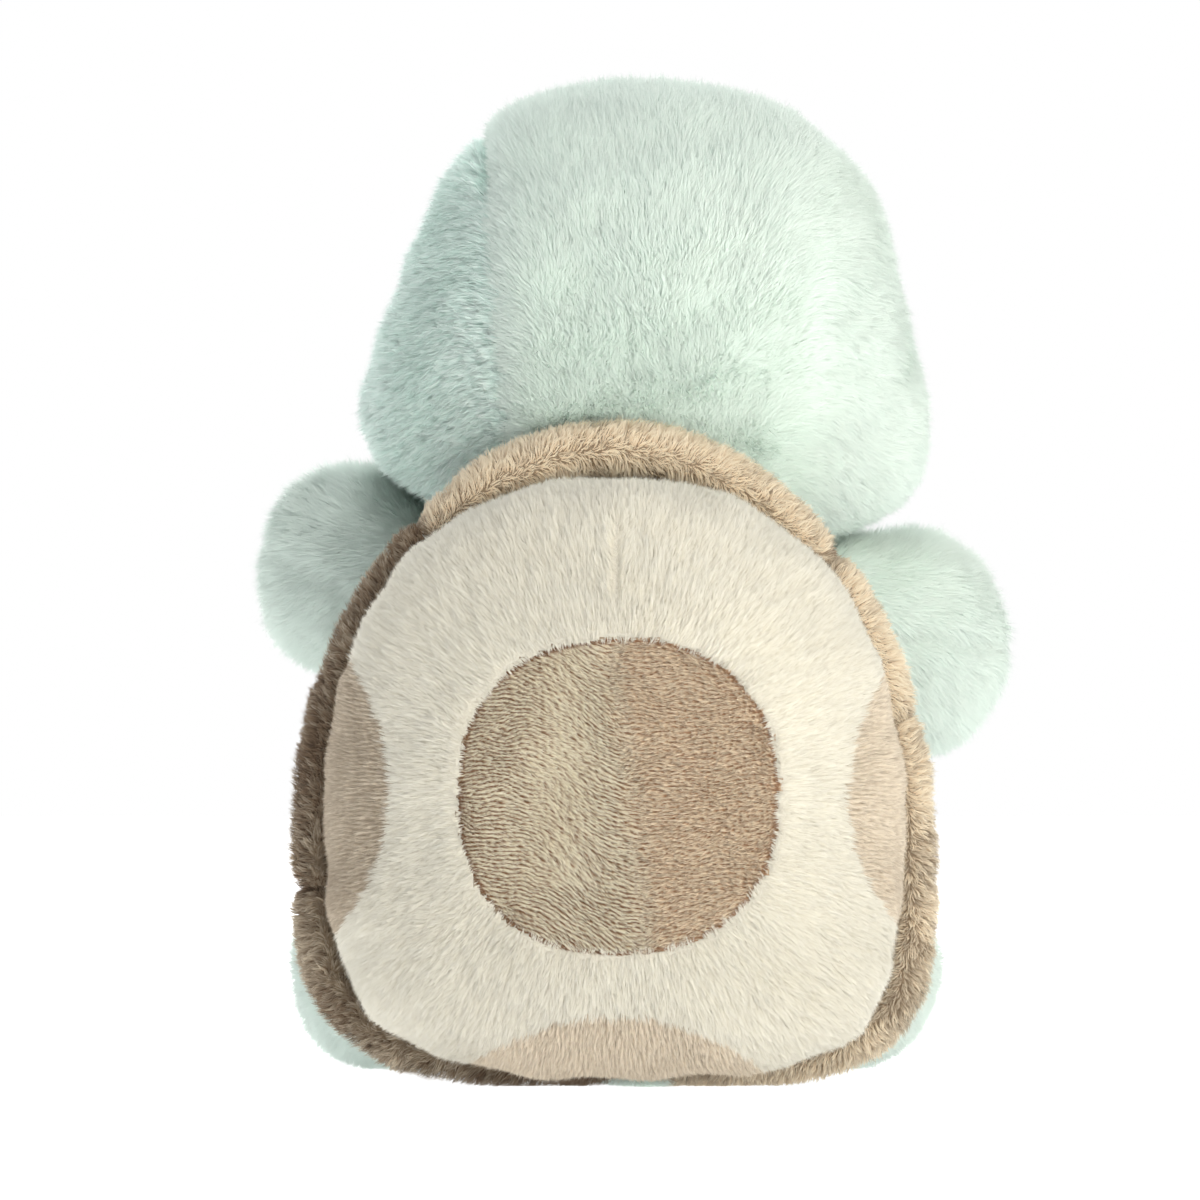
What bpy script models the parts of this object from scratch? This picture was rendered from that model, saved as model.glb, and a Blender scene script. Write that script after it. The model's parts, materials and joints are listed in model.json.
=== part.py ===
# Seated plush turtle: stuffed head, body, arms and legs in mint fur cloth, and a padded shell on its back.
# Metres, +Z up. The turtle looks towards -Y, its left side is +X, and it sits on the plane z = 0.
# Every cover is a skin of cloth cut into its sewn panels, with the stuffing inside as a solid of its own.

import math

import bmesh
import bpy
from mathutils import Matrix, Vector
from mathutils.bvhtree import BVHTree

# Cloth and clearances
FUR_CLOTH = 0.005
SHELL_CLOTH = 0.003
SEAM_GAP = 0.0003
MOVING_GAP = 0.0006
FLOOR_PRESS = 0.0005
WELD_DISTANCE = SEAM_GAP / 10
CUT_REACH = 0.4

# Body
BODY_Y = 0.0
BODY_WIDEST_Z = 0.050
BODY_HALF_WIDTH = 0.056
BODY_FRONT = 0.048
BODY_BACK = 0.037
BODY_TOP_Z = 0.130
BODY_POWER = 2.6
SEAT_PANEL_Z = 0.012
SIDE_SEAM_Y = 0.004

# Pellet bag, which weighs the seat down
PELLET_HALF_WIDTH = 0.030
PELLET_HALF_DEPTH = 0.0200
PELLET_TOP_Z = 0.026

# Tail
TAIL_X = -0.004
TAIL_Y = 0.032
TAIL_HALF_WIDTH = 0.011
TAIL_LENGTH = 0.023
TAIL_ROOT = 0.032
TAIL_TOP_Z = 0.004

# Head, measured from the ball of stuffing in the neck, which it nods on
NECK_Z = 0.146
NECK_BALL_RADIUS = 0.025
HEAD_X = -0.003
HEAD_Y = -0.006
HEAD_WIDEST_Z = 0.0465
HEAD_HALF_WIDTH = 0.0725
HEAD_FRONT = 0.052
HEAD_BACK = 0.055
HEAD_UP = 0.062
HEAD_DOWN = 0.060
HEAD_POWER = 2.1
HEAD_TILT = math.radians(-4)
HEAD_NOD = math.radians(10)
HEAD_LOOK_UP = math.radians(3)
GUSSET_HALF_WIDTH = 0.0365
# Height share, then the share of the round form's side, front and back there
HEAD_SHARES = (
    (0.00, 1.36, 1.24, 0.80),
    (0.06, 1.35, 1.24, 0.76),
    (0.14, 1.26, 1.19, 0.72),
    (0.22, 1.16, 1.13, 0.70),
    (0.30, 1.07, 1.08, 0.74),
    (0.40, 0.98, 1.04, 0.88),
    (0.52, 0.90, 1.01, 0.98),
    (0.64, 0.87, 1.00, 1.00),
    (0.80, 0.91, 0.98, 1.00),
    (1.00, 1.00, 1.00, 1.00),
)

# Muzzle, from the neck ball
MUZZLE_Y = -0.050
MUZZLE_Z = 0.025
MUZZLE_HALF_WIDTH = 0.029
MUZZLE_DEPTH = 0.022
MUZZLE_HALF_HEIGHT = 0.018
MUZZLE_POWER = 2.2

# Eyes, washers and stitched face
EYE_X = 0.034
EYE_Z = 0.046
EYE_RADIUS = 0.0068
EYE_HEIGHT = 0.0044
STEM_RADIUS = 0.0020
STEM_LENGTH = 0.0120
WASHER_RADIUS = 0.0090
WASHER_THICKNESS = 0.0012
THREAD_RADIUS = 0.0007
MOUTH_HALF_ANGLE = math.radians(48)
MOUTH_DROP = math.radians(30)
MOUTH_LIFT = math.radians(20)
MOUTH_POINTS = 13
NOSTRIL_RADIUS = 0.0017
NOSTRIL_TURN = math.radians(20)
NOSTRIL_LIFT = math.radians(24)

# Arms, each measured from its shoulder along its own axis
SHOULDER_X = 0.039
SHOULDER_Y = -0.004
SHOULDER_Z = 0.114
ARM_LENGTH = 0.069
ARM_ROOT = 0.018
ARM_HALF_WIDTH = 0.0245
ARM_HALF_HEIGHT = {"left": 0.0285, "right": 0.0305}
ARM_SPLAY = math.radians(53)
ARM_DROOP = {"left": math.radians(-22), "right": math.radians(4)}
ARM_SWING = {"left": math.radians(40), "right": math.radians(25)}
# Share of the length from the joint, then the share of the fullest section there
ARM_SHARES = (
    (0.0, 0.70),
    (0.25, 0.84),
    (0.45, 0.96),
    (0.62, 1.0),
    (0.80, 0.88),
    (0.92, 0.61),
    (1.0, 0.0),
)

# Legs, each measured from its hip along its own axis
HIP_X = 0.036
HIP_Y = -0.022
LEG_LENGTH = 0.078
LEG_ROOT = 0.020
LEG_HALF_WIDTH = 0.0262
LEG_HALF_HEIGHT = 0.0258
LEG_SPLAY = {"left": math.radians(28), "right": math.radians(21)}
LEG_LIFT = math.radians(25)
SOLE_DEPTH = 0.011
LEG_SHARES = (
    (0.0, 0.82),
    (0.25, 0.88),
    (0.50, 0.97),
    (0.70, 1.0),
    (0.86, 0.90),
    (0.95, 0.66),
    (1.0, 0.0),
)

# Shell, whose outline is an ellipse above its widest height and squarer below it
SHELL_X = 0.0035
SHELL_WIDEST_Z = 0.060
SHELL_HALF_WIDTH = 0.0815
SHELL_TOP_Z = 0.1675
SHELL_UPPER_POWER = 2.0
SHELL_LOWER_POWER = 3.6
BASE_Y = 0.034
BASE_THICKNESS = 0.0024
RIM_Y = 0.040
RIM_RADIUS = 0.0075
RIM_HALF_DEPTH = 0.009
RIM_CORE_RADIUS = 0.0030
RIM_SEAM_GAP = 0.0014
RIM_PINCH_SHARE = 0.72
RIM_FULLNESS = 0.4
# Where the rolls of the rim are pinched together, in degrees from the top towards the left side
RIM_SEAMS = (-36.7, 31.0, 97.7, 180.0, 295.0)
RIM_NAMES = ("collar_rim", "left_rim", "lower_left_rim", "lower_right_rim", "right_rim")
RIM_STEP = math.radians(10)

# Dome of the shell, which lies inside the rim's rolls
DOME_Y = 0.058
DOME_SIDE_INSET = 0.001
DOME_TOP_INSET = 0.003
DOME_WIDEST_Z = 0.065
DOME_HALF_WIDTH = SHELL_HALF_WIDTH - RIM_RADIUS - DOME_SIDE_INSET
DOME_UP = SHELL_TOP_Z - DOME_WIDEST_Z - RIM_RADIUS - DOME_TOP_INSET
DOME_DOWN = DOME_WIDEST_Z - RIM_RADIUS
DOME_FRONT = 0.034
DOME_BACK = 0.034
DOME_SAG = 0.007
DOME_POWER = 2.35

# Tan patches let into the dome
PATCH_X = -0.001
PATCH_Z = 0.074
PATCH_HALF_WIDTH = 0.040
PATCH_HALF_HEIGHT = 0.039
PATCH_POWER = 2.35
SIDE_PATCH_INNER = 0.057
SIDE_PATCH_RADIUS = 0.048
SIDE_PATCH_Z = 0.0745
BOTTOM_PATCH_TOP_Z = 0.017
BOTTOM_PATCH_RADIUS = 0.055

MINT = (0.70, 0.86, 0.75)
CREAM = (0.84, 0.78, 0.66)
TAN = (0.50, 0.38, 0.26)
FIBRE = (0.90, 0.90, 0.88)
PELLET_CLOTH = (0.75, 0.74, 0.70)
BLACK = (0.012, 0.010, 0.010)
STITCH = (0.10, 0.07, 0.05)

SIDES = {"left": 1, "right": -1}
AXES = ("X", "Y", "Z")

# How many segments and rings each stuffed form is drawn with, and the counts of the other forms
HEAD_DETAIL = (18, 11)
BODY_DETAIL = (16, 10)
DOME_DETAIL = (18, 11)
MUZZLE_DETAIL = (14, 8)
LIMB_DETAIL = (12, 9)
SMALL_DETAIL = (10, 6)
BALL_DETAIL = (20, 8)
TURNED_STEPS = 10
EYE_ARC_STEPS = 5
PATCH_SEGMENTS = 24
BASE_SEGMENTS = 40
ROLL_BEVEL_STEPS = 3
CORD_BEVEL_STEPS = 1
THREAD_BEVEL_STEPS = 2
ROOM_STEPS = 4


def clear_scene():
    for item in list(bpy.data.objects):
        bpy.data.objects.remove(item)


def new_collection(name):
    collection = bpy.data.collections.new(name)
    bpy.context.scene.collection.children.link(collection)
    return collection


def material_of(name, colour, roughness):
    material = bpy.data.materials.new(name)
    material.use_nodes = True
    surface = material.node_tree.nodes["Principled BSDF"]
    surface.inputs["Base Color"].default_value = (*colour, 1)
    surface.inputs["Roughness"].default_value = roughness
    surface.inputs["Metallic"].default_value = 0
    return material


def faced_out(bm):
    """Turns a closed shape's faces outwards."""
    if bm.calc_volume(signed=True) < 0:
        bmesh.ops.reverse_faces(bm, faces=bm.faces)
    bm.normal_update()
    return bm


def place(name, bm, collection, carrier):
    """Puts a bmesh, drawn in its carrier's own axes, into the scene as an object."""
    faced_out(bm)
    mesh = bpy.data.meshes.new(name)
    bm.to_mesh(mesh)
    bm.free()
    item = bpy.data.objects.new(name, mesh)
    collection.objects.link(item)
    item.parent = carrier
    return item


def piece(name, bm, colour, carrier, roughness=0.9):
    item = place(name, bm, TURTLE, carrier)
    item.data.materials.append(material_of(name, colour, roughness))
    item.data.shade_smooth()
    item.data.set_sharp_from_angle(angle=math.radians(40))
    return item


def cutter(name, bm, carrier=None):
    item = place(name + "_cutter", bm, CUTTERS, carrier)
    item.hide_render = True
    item.display_type = "WIRE"
    return item


def carrier_at(name, place_at, turn=(0, 0, 0)):
    """An empty on a joint's axis, which carries the pieces that move with it."""
    empty = bpy.data.objects.new(name, None)
    TURTLE.objects.link(empty)
    empty.location = place_at
    empty.rotation_euler = turn
    return empty


def boolean(item, operation, tools):
    for tool in tools:
        modifier = item.modifiers.new(tool.name, "BOOLEAN")
        modifier.operation = operation
        modifier.object = tool
    return item


def cut(item, *tools):
    return boolean(item, "DIFFERENCE", tools)


def keep(item, *tools):
    return boolean(item, "INTERSECT", tools)


def grown(bm, growth):
    """Moves every point of a closed form out along its normal, or in where growth is negative."""
    faced_out(bm)
    moves = [(vert, vert.normal * growth) for vert in bm.verts]
    for vert, move in moves:
        vert.co += move
    return bm


def share_at(rows, height, column=1):
    """Reads a table of shares between its rows."""
    for low, high in zip(rows, rows[1:]):
        if height <= high[0]:
            along = (height - low[0]) / (high[0] - low[0])
            return low[column] + (high[column] - low[column]) * along
    return rows[-1][column]


def swollen_reach(direction, reach, power):
    """How far a stuffed form reaches in a direction, when it reaches its own length to each of the six sides."""
    sides = [reach[axis][direction[axis] > 0] for axis in range(3)]
    total = sum((abs(direction[axis]) / sides[axis]) ** power for axis in range(3))
    return total ** (-1 / power)


def unit_sphere(detail):
    """A sphere of fixed triangles, so that a form and its hollow are split along the same lines."""
    bm = bmesh.new()
    bmesh.ops.create_uvsphere(bm, u_segments=detail[0], v_segments=detail[1], radius=1)
    bmesh.ops.triangulate(bm, faces=bm.faces, quad_method="FIXED")
    return bm


def swollen(centre, reach, power, detail):
    """A round stuffed form: a sphere pulled out to its reach on every side."""
    bm = unit_sphere(detail)
    for vert in bm.verts:
        direction = vert.co.normalized()
        vert.co = Vector(centre) + direction * swollen_reach(direction, reach, power)
    return bm


def limb(length, root, half_width, half_height, shares):
    """A stuffed arm or leg along -Y, round at its tip and swelling towards it."""
    bm = unit_sphere(LIMB_DETAIL)
    for vert in bm.verts:
        across = Vector((vert.co.x, vert.co.y))
        around = across.normalized() if across.length > 0 else across
        if vert.co.z > 0:
            along, share = vert.co.z * length, share_at(shares, vert.co.z)
        else:
            along, share = vert.co.z * root, shares[0][1] * across.length
        vert.co = (around.x * share * half_width, -along, around.y * share * half_height)
    return bm


def block(low, high):
    bm = bmesh.new()
    bmesh.ops.create_cube(bm, size=1)
    low, high = Vector(low), Vector(high)
    for vert in bm.verts:
        vert.co = (low + high) / 2 + (high - low) * vert.co
    return bm


def ball(radius):
    """A ball with its poles on the X axis, so that it turns about that axis within a socket of the same facets."""
    bm = unit_sphere(BALL_DETAIL)
    turn = Matrix.Rotation(math.radians(90), 4, "Y") @ Matrix.Scale(radius, 4)
    bmesh.ops.transform(bm, matrix=turn, verts=bm.verts)
    return bm


def turned(profile):
    """A profile of (radius, height) points turned round the Z axis into a closed body."""
    bm = bmesh.new()
    verts = [bm.verts.new((radius, 0, height)) for radius, height in profile]
    edges = [bm.edges.new(pair) for pair in zip(verts, verts[1:])]
    bmesh.ops.spin(
        bm,
        geom=verts + edges,
        cent=(0, 0, 0),
        axis=(0, 0, 1),
        angle=math.tau,
        steps=TURNED_STEPS,
        use_merge=True,
    )
    bmesh.ops.remove_doubles(bm, verts=bm.verts, dist=WELD_DISTANCE)
    return bm


def unit_cylinder(segments):
    bm = bmesh.new()
    bmesh.ops.create_cone(bm, cap_ends=True, segments=segments, radius1=1, radius2=1, depth=1)
    return bm


def panel_prism(centre_x, centre_z, half_width, half_height, power):
    """A patch's outline as seen from behind, run through the whole dome."""
    bm = unit_cylinder(PATCH_SEGMENTS)
    for vert in bm.verts:
        reach = (abs(vert.co.x) ** power + abs(vert.co.y) ** power) ** (-1 / power)
        x, z = vert.co.x * reach * half_width, vert.co.y * reach * half_height
        vert.co = (centre_x + x, vert.co.z * CUT_REACH, centre_z + z)
    return bm


def tube(points, radius, radii_shares, cyclic, sides, depth_share=1):
    """A roll along a flat route, as a mesh, with its depth squeezed or stretched about that route."""
    curve = bpy.data.curves.new("route", "CURVE")
    curve.dimensions = "3D"
    curve.bevel_depth = radius
    curve.bevel_resolution = sides
    curve.use_fill_caps = True
    spline = curve.splines.new("POLY")
    spline.points.add(len(points) - 1)
    spline.use_cyclic_u = cyclic
    for place_at, point, share in zip(points, spline.points, radii_shares):
        point.co = (*place_at, 1)
        point.radius = share
    holder = bpy.data.objects.new("route", curve)
    TURTLE.objects.link(holder)
    bpy.context.view_layer.update()
    graph = bpy.context.evaluated_depsgraph_get()
    mesh = bpy.data.meshes.new_from_object(holder.evaluated_get(graph))
    bm = bmesh.new()
    bm.from_mesh(mesh)
    bpy.data.objects.remove(holder)
    bpy.data.meshes.remove(mesh)
    bmesh.ops.remove_doubles(bm, verts=bm.verts, dist=WELD_DISTANCE)
    middle = points[0].y
    for vert in bm.verts:
        vert.co.y = middle + (vert.co.y - middle) * depth_share
    return bm


def skin_cutter(name, form, cloth, carrier=None):
    """What hollows a form out to its cloth."""
    return cutter(name, grown(form(), -cloth), carrier)


def filling(form, cloth):
    return grown(form(), -(cloth + SEAM_GAP))


def body_form():
    reach = (
        (BODY_HALF_WIDTH, BODY_HALF_WIDTH),
        (BODY_FRONT, BODY_BACK),
        (BODY_WIDEST_Z + FLOOR_PRESS, BODY_TOP_Z - BODY_WIDEST_Z),
    )
    return swollen((0, BODY_Y, BODY_WIDEST_Z), reach, BODY_POWER, BODY_DETAIL)


def tail_form():
    reach = ((TAIL_HALF_WIDTH, TAIL_HALF_WIDTH), (TAIL_ROOT, TAIL_LENGTH), (FLOOR_PRESS, TAIL_TOP_Z))
    return swollen((TAIL_X, TAIL_Y, 0), reach, 2, SMALL_DETAIL)


def head_form():
    """Bell-shaped head, fuller at the cheeks and scooped at the nape, in the head's own axes."""
    reach = ((HEAD_HALF_WIDTH, HEAD_HALF_WIDTH), (HEAD_FRONT, HEAD_BACK), (HEAD_DOWN, HEAD_UP))
    bm = swollen((0, 0, 0), reach, HEAD_POWER, HEAD_DETAIL)
    for vert in bm.verts:
        height = (vert.co.z + HEAD_DOWN) / (HEAD_UP + HEAD_DOWN)
        side, front, back = (share_at(HEAD_SHARES, height, column) for column in (1, 2, 3))
        vert.co.x *= side
        vert.co.y *= back if vert.co.y > 0 else front
        vert.co += Vector((HEAD_X, HEAD_Y, HEAD_WIDEST_Z))
    return bm


def muzzle_reach():
    half = (MUZZLE_HALF_WIDTH, MUZZLE_HALF_WIDTH)
    return half, (MUZZLE_DEPTH, MUZZLE_DEPTH), (MUZZLE_HALF_HEIGHT, MUZZLE_HALF_HEIGHT)


def muzzle_form():
    return swollen((HEAD_X, MUZZLE_Y, MUZZLE_Z), muzzle_reach(), MUZZLE_POWER, MUZZLE_DETAIL)


def muzzle_point(turn, lift, standoff):
    """A point in front of the muzzle's cloth, in the direction of two angles from straight ahead."""
    level = math.cos(lift)
    direction = Vector((math.sin(turn) * level, -math.cos(turn) * level, math.sin(lift)))
    reach = swollen_reach(direction, muzzle_reach(), MUZZLE_POWER)
    return Vector((HEAD_X, MUZZLE_Y, MUZZLE_Z)) + direction * (reach + standoff)


def arm_form(side):
    return limb(ARM_LENGTH, ARM_ROOT, ARM_HALF_WIDTH, ARM_HALF_HEIGHT[side], ARM_SHARES)


def leg_form():
    return limb(LEG_LENGTH, LEG_ROOT, LEG_HALF_WIDTH, LEG_HALF_HEIGHT, LEG_SHARES)


def dome_form():
    """The padded dome, which sags a little lower the further it stands out."""
    reach = ((DOME_HALF_WIDTH, DOME_HALF_WIDTH), (DOME_FRONT, DOME_BACK), (DOME_DOWN, DOME_UP))
    bm = unit_sphere(DOME_DETAIL)
    turn = Matrix.Rotation(math.radians(90), 3, "X")
    for vert in bm.verts:
        direction = (turn @ vert.co).normalized()
        vert.co = direction * swollen_reach(direction, reach, DOME_POWER)
        behind = (vert.co.y + DOME_FRONT) / (DOME_FRONT + DOME_BACK)
        vert.co += Vector((0, DOME_Y, DOME_WIDEST_Z - DOME_SAG * behind))
    return bm


def outline_point(angle, inset):
    """A point of the shell's outline, inset by a distance, at an angle from its top towards +X."""
    across, up = math.sin(angle), math.cos(angle)
    height = SHELL_TOP_Z - SHELL_WIDEST_Z if up > 0 else SHELL_WIDEST_Z + FLOOR_PRESS
    power = SHELL_UPPER_POWER if up > 0 else SHELL_LOWER_POWER
    total = (abs(across) / (SHELL_HALF_WIDTH - inset)) ** power + (abs(up) / (height - inset)) ** power
    reach = total ** (-1 / power)
    return Vector((across * reach, RIM_Y, SHELL_WIDEST_Z + up * reach))


def rim_route(start, end):
    count = max(2, round((end - start) / RIM_STEP))
    angles = [start + (end - start) * step / count for step in range(count + 1)]
    return [outline_point(angle, RIM_RADIUS) for angle in angles]


def rim_roll(start, end):
    """One stuffed roll of the rim, full in its middle and pinched at its two seams."""
    half_gap = RIM_SEAM_GAP / (2 * (SHELL_HALF_WIDTH - RIM_RADIUS))
    points = rim_route(start + half_gap, end - half_gap)
    last = len(points) - 1
    shares = [
        RIM_PINCH_SHARE + (1 - RIM_PINCH_SHARE) * abs(math.sin(math.pi * step / last)) ** RIM_FULLNESS
        for step in range(last + 1)
    ]
    return tube(points, RIM_RADIUS, shares, False, ROLL_BEVEL_STEPS, RIM_HALF_DEPTH / RIM_RADIUS)


def rim_core(radius):
    """The soft cord that runs through every roll of the rim."""
    points = rim_route(0, math.tau)[:-1]
    return tube(points, radius, [1] * len(points), True, CORD_BEVEL_STEPS)


def beyond(axis, start):
    """All the space on the far side of a plane across an axis, as far as any cut reaches."""
    low = [-CUT_REACH] * 3
    low[AXES.index(axis)] = start
    return block(low, [CUT_REACH] * 3)


def short_of(axis, end):
    high = [CUT_REACH] * 3
    high[AXES.index(axis)] = end
    return block([-CUT_REACH] * 3, high)


def make_body():
    tools = {
        "floor": cutter("floor", short_of("Z", 0)),
        "shell": cutter("shell_side", beyond("Y", BASE_Y - SEAM_GAP)),
        "hollow": skin_cutter("body_hollow", body_form, FUR_CLOTH),
        "neck": cutter("neck_opening", ball(NECK_BALL_RADIUS + SEAM_GAP), NECK),
    }
    above_seat = cutter("above_seat", beyond("Z", SEAT_PANEL_Z))
    below_seat = cutter("below_seat", short_of("Z", SEAT_PANEL_Z - SEAM_GAP))
    front = cutter("front_half", short_of("Y", SIDE_SEAM_Y - SEAM_GAP))
    rear = cutter("rear_half", beyond("Y", SIDE_SEAM_Y))
    for name, halves in (
        ("belly_panel", (above_seat, front)),
        ("body_back_panel", (above_seat, rear)),
        ("seat_panel", (below_seat,)),
    ):
        keep(piece(name, body_form(), MINT, None), *halves)
        cut(bpy.data.objects[name], *tools.values())
    pellet_z = FUR_CLOTH + SEAM_GAP
    reach = (
        (PELLET_HALF_WIDTH, PELLET_HALF_WIDTH),
        (PELLET_HALF_DEPTH, PELLET_HALF_DEPTH),
        (pellet_z, PELLET_TOP_Z - pellet_z),
    )

    def pellet_form():
        return swollen((0, BODY_Y, pellet_z), reach, 2, SMALL_DETAIL)

    over_seat = cutter("over_seat_cloth", short_of("Z", pellet_z))
    within_cloth = cutter("within_cloth", filling(body_form, FUR_CLOTH))
    cut(keep(piece("pellet_bag", pellet_form(), PELLET_CLOTH, None), within_cloth), over_seat)
    stuffing = piece("body_filling", filling(body_form, FUR_CLOTH), FIBRE, None)
    boolean(stuffing, "UNION", [cutter("neck_ball", ball(NECK_BALL_RADIUS), NECK)])
    pellet_room = cutter("pellet_room", grown(pellet_form(), SEAM_GAP))
    cut(stuffing, tools["shell"], over_seat, pellet_room)
    body_room = cutter("body_room", grown(body_form(), SEAM_GAP))
    cut(piece("tail", tail_form(), MINT, None), body_room, tools["floor"])
    return tools


def make_head():
    tools = (
        skin_cutter("head_hollow", head_form, FUR_CLOTH, HEAD),
        cutter("head_socket", ball(NECK_BALL_RADIUS + MOVING_GAP), NECK),
    )
    stuffing = cut(piece("head_filling", filling(head_form, FUR_CLOTH), FIBRE, HEAD), tools[1])
    seam = GUSSET_HALF_WIDTH
    spans = {
        "head_centre_panel": (HEAD_X - seam, HEAD_X + seam),
        "head_left_panel": (HEAD_X + seam + SEAM_GAP, CUT_REACH),
        "head_right_panel": (-CUT_REACH, HEAD_X - seam - SEAM_GAP),
    }
    panels = {}
    for name, (low, high) in spans.items():
        span = block((low, -CUT_REACH, -CUT_REACH), (high, CUT_REACH, CUT_REACH))
        panel = keep(piece(name, head_form(), MINT, HEAD), cutter(name + "_span", span, HEAD))
        panels[name] = cut(panel, *tools)
    make_muzzle()
    make_eyes(panels, stuffing)


def make_muzzle():
    head_room = cutter("head_room", grown(head_form(), SEAM_GAP), HEAD)
    hollow = skin_cutter("muzzle_hollow", muzzle_form, FUR_CLOTH, HEAD)
    cut(piece("muzzle_panel", muzzle_form(), MINT, HEAD), hollow, head_room)
    cut(piece("muzzle_filling", filling(muzzle_form, FUR_CLOTH), FIBRE, HEAD), head_room)
    standoff = THREAD_RADIUS + SEAM_GAP
    points = []
    for step in range(MOUTH_POINTS):
        across = 2 * step / (MOUTH_POINTS - 1) - 1
        lift = -MOUTH_DROP + MOUTH_LIFT * across**2
        points.append(muzzle_point(across * MOUTH_HALF_ANGLE, lift, standoff))
    thread = tube(points, THREAD_RADIUS, [1] * MOUTH_POINTS, False, THREAD_BEVEL_STEPS)
    piece("mouth_stitch", thread, STITCH, HEAD, 0.6)
    for side, sign in SIDES.items():
        centre = muzzle_point(sign * NOSTRIL_TURN, NOSTRIL_LIFT, NOSTRIL_RADIUS + SEAM_GAP)
        reach = ((NOSTRIL_RADIUS, NOSTRIL_RADIUS),) * 3
        piece(side + "_nostril_stitch", swollen(centre, reach, 2, SMALL_DETAIL), STITCH, HEAD, 0.6)


def eye_profile():
    """A domed button with its stem, from the middle of the dome down to the end of the stem."""
    arc = [math.radians(90) * step / EYE_ARC_STEPS for step in range(EYE_ARC_STEPS)]
    dome = [(EYE_RADIUS * math.sin(angle), EYE_HEIGHT * math.cos(angle)) for angle in arc]
    stem = [(STEM_RADIUS, 0), (STEM_RADIUS, -STEM_LENGTH), (0, -STEM_LENGTH)]
    return dome + [(EYE_RADIUS, 0)] + stem


def washer_profile():
    inner = STEM_RADIUS + SEAM_GAP
    top = -FUR_CLOTH - 2 * SEAM_GAP
    bottom = top - WASHER_THICKNESS
    return [(inner, top), (WASHER_RADIUS, top), (WASHER_RADIUS, bottom), (inner, bottom), (inner, top)]


def room_profile():
    """The hole that a stem and its washer need in the cloth and the stuffing."""
    stem = STEM_RADIUS + SEAM_GAP
    washer = WASHER_RADIUS + SEAM_GAP
    top = -FUR_CLOTH - SEAM_GAP
    bottom = top - WASHER_THICKNESS - 2 * SEAM_GAP
    end = -STEM_LENGTH - SEAM_GAP
    return [
        (0, FUR_CLOTH),
        (stem, FUR_CLOTH),
        (stem, top),
        (washer, top),
        (washer, bottom),
        (stem, bottom),
        (stem, end),
        (0, end),
    ]


def make_eyes(panels, stuffing):
    surface = faced_out(head_form())
    tree = BVHTree.FromBMesh(surface)
    for side, sign in SIDES.items():
        before = Vector((HEAD_X + sign * EYE_X, -CUT_REACH, EYE_Z))
        place_at, normal, _, _ = tree.ray_cast(before, Vector((0, 1, 0)))
        facing = normal.to_track_quat("Z", "Y").to_matrix().to_4x4()
        seat = Matrix.Translation(place_at + normal * SEAM_GAP) @ facing
        eye = turned(eye_profile())
        washer = turned(washer_profile())
        room = turned(room_profile())
        for bm in (eye, washer, room):
            bmesh.ops.transform(bm, matrix=seat, verts=bm.verts)
        piece(side + "_eye", eye, BLACK, HEAD, 0.08)
        piece(side + "_eye_washer", washer, FIBRE, HEAD, 0.5)
        hole = cutter(side + "_eye_room", room, HEAD)
        cut(panels["head_centre_panel"], hole)
        cut(panels["head_%s_panel" % side], hole)
        cut(stuffing, hole)
    surface.free()


def swung(bm, pivot, angle):
    """Turns a form about the X axis through a joint."""
    swing = Matrix.Translation(pivot) @ Matrix.Rotation(angle, 4, "X") @ Matrix.Translation(-pivot)
    bmesh.ops.transform(bm, matrix=swing, verts=bm.verts)
    return bm


def rooms_along(name, form, angles, pivot):
    """The form with its moving clearance, as a limb sees it at each angle of the limb's swing."""
    rooms = []
    for step, angle in enumerate(angles):
        room = swung(grown(form(), MOVING_GAP), pivot, angle)
        rooms.append(cutter("%s_room_%d" % (name, step), room))
    return rooms


def spread(last, count):
    return [last * step / (count - 1) for step in range(count)]


def nodded_head(angle):
    """The head's form in the turtle's own axes, nodded by an angle."""
    bm = head_form()
    bmesh.ops.transform(bm, matrix=HEAD.matrix_world, verts=bm.verts)
    return swung(bm, Vector((0, BODY_Y, NECK_Z)), angle)


def make_arms():
    for side, sign in SIDES.items():
        shoulder = Vector((sign * SHOULDER_X, SHOULDER_Y, SHOULDER_Z))
        carrier = carrier_at(side + "_shoulder", shoulder, (ARM_DROOP[side], 0, sign * ARM_SPLAY))
        angles = spread(-ARM_SWING[side], ROOM_STEPS)
        body_rooms = rooms_along(side + "_arm_body", body_form, angles, shoulder)
        head_rooms = []
        for step, nod in enumerate([-HEAD_LOOK_UP] + spread(HEAD_NOD, ROOM_STEPS - 1)):
            name = "%s_arm_head_%d" % (side, step)
            head_rooms += rooms_along(name, lambda nod=nod: nodded_head(nod), angles, shoulder)

        def form():
            return arm_form(side)

        hollow = skin_cutter(side + "_arm_hollow", form, FUR_CLOTH, carrier)
        halves = {
            "upper": beyond("Z", SEAM_GAP / 2),
            "under": short_of("Z", -SEAM_GAP / 2),
        }
        for half, bm in halves.items():
            name = "%s_arm_%s_panel" % (side, half)
            panel = keep(piece(name, form(), MINT, carrier), cutter(name + "_half", bm, carrier))
            cut(panel, hollow, *body_rooms, *head_rooms)
        stuffing = piece(side + "_arm_filling", filling(form, FUR_CLOTH), FIBRE, carrier)
        cut(stuffing, *body_rooms, *head_rooms)


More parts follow.
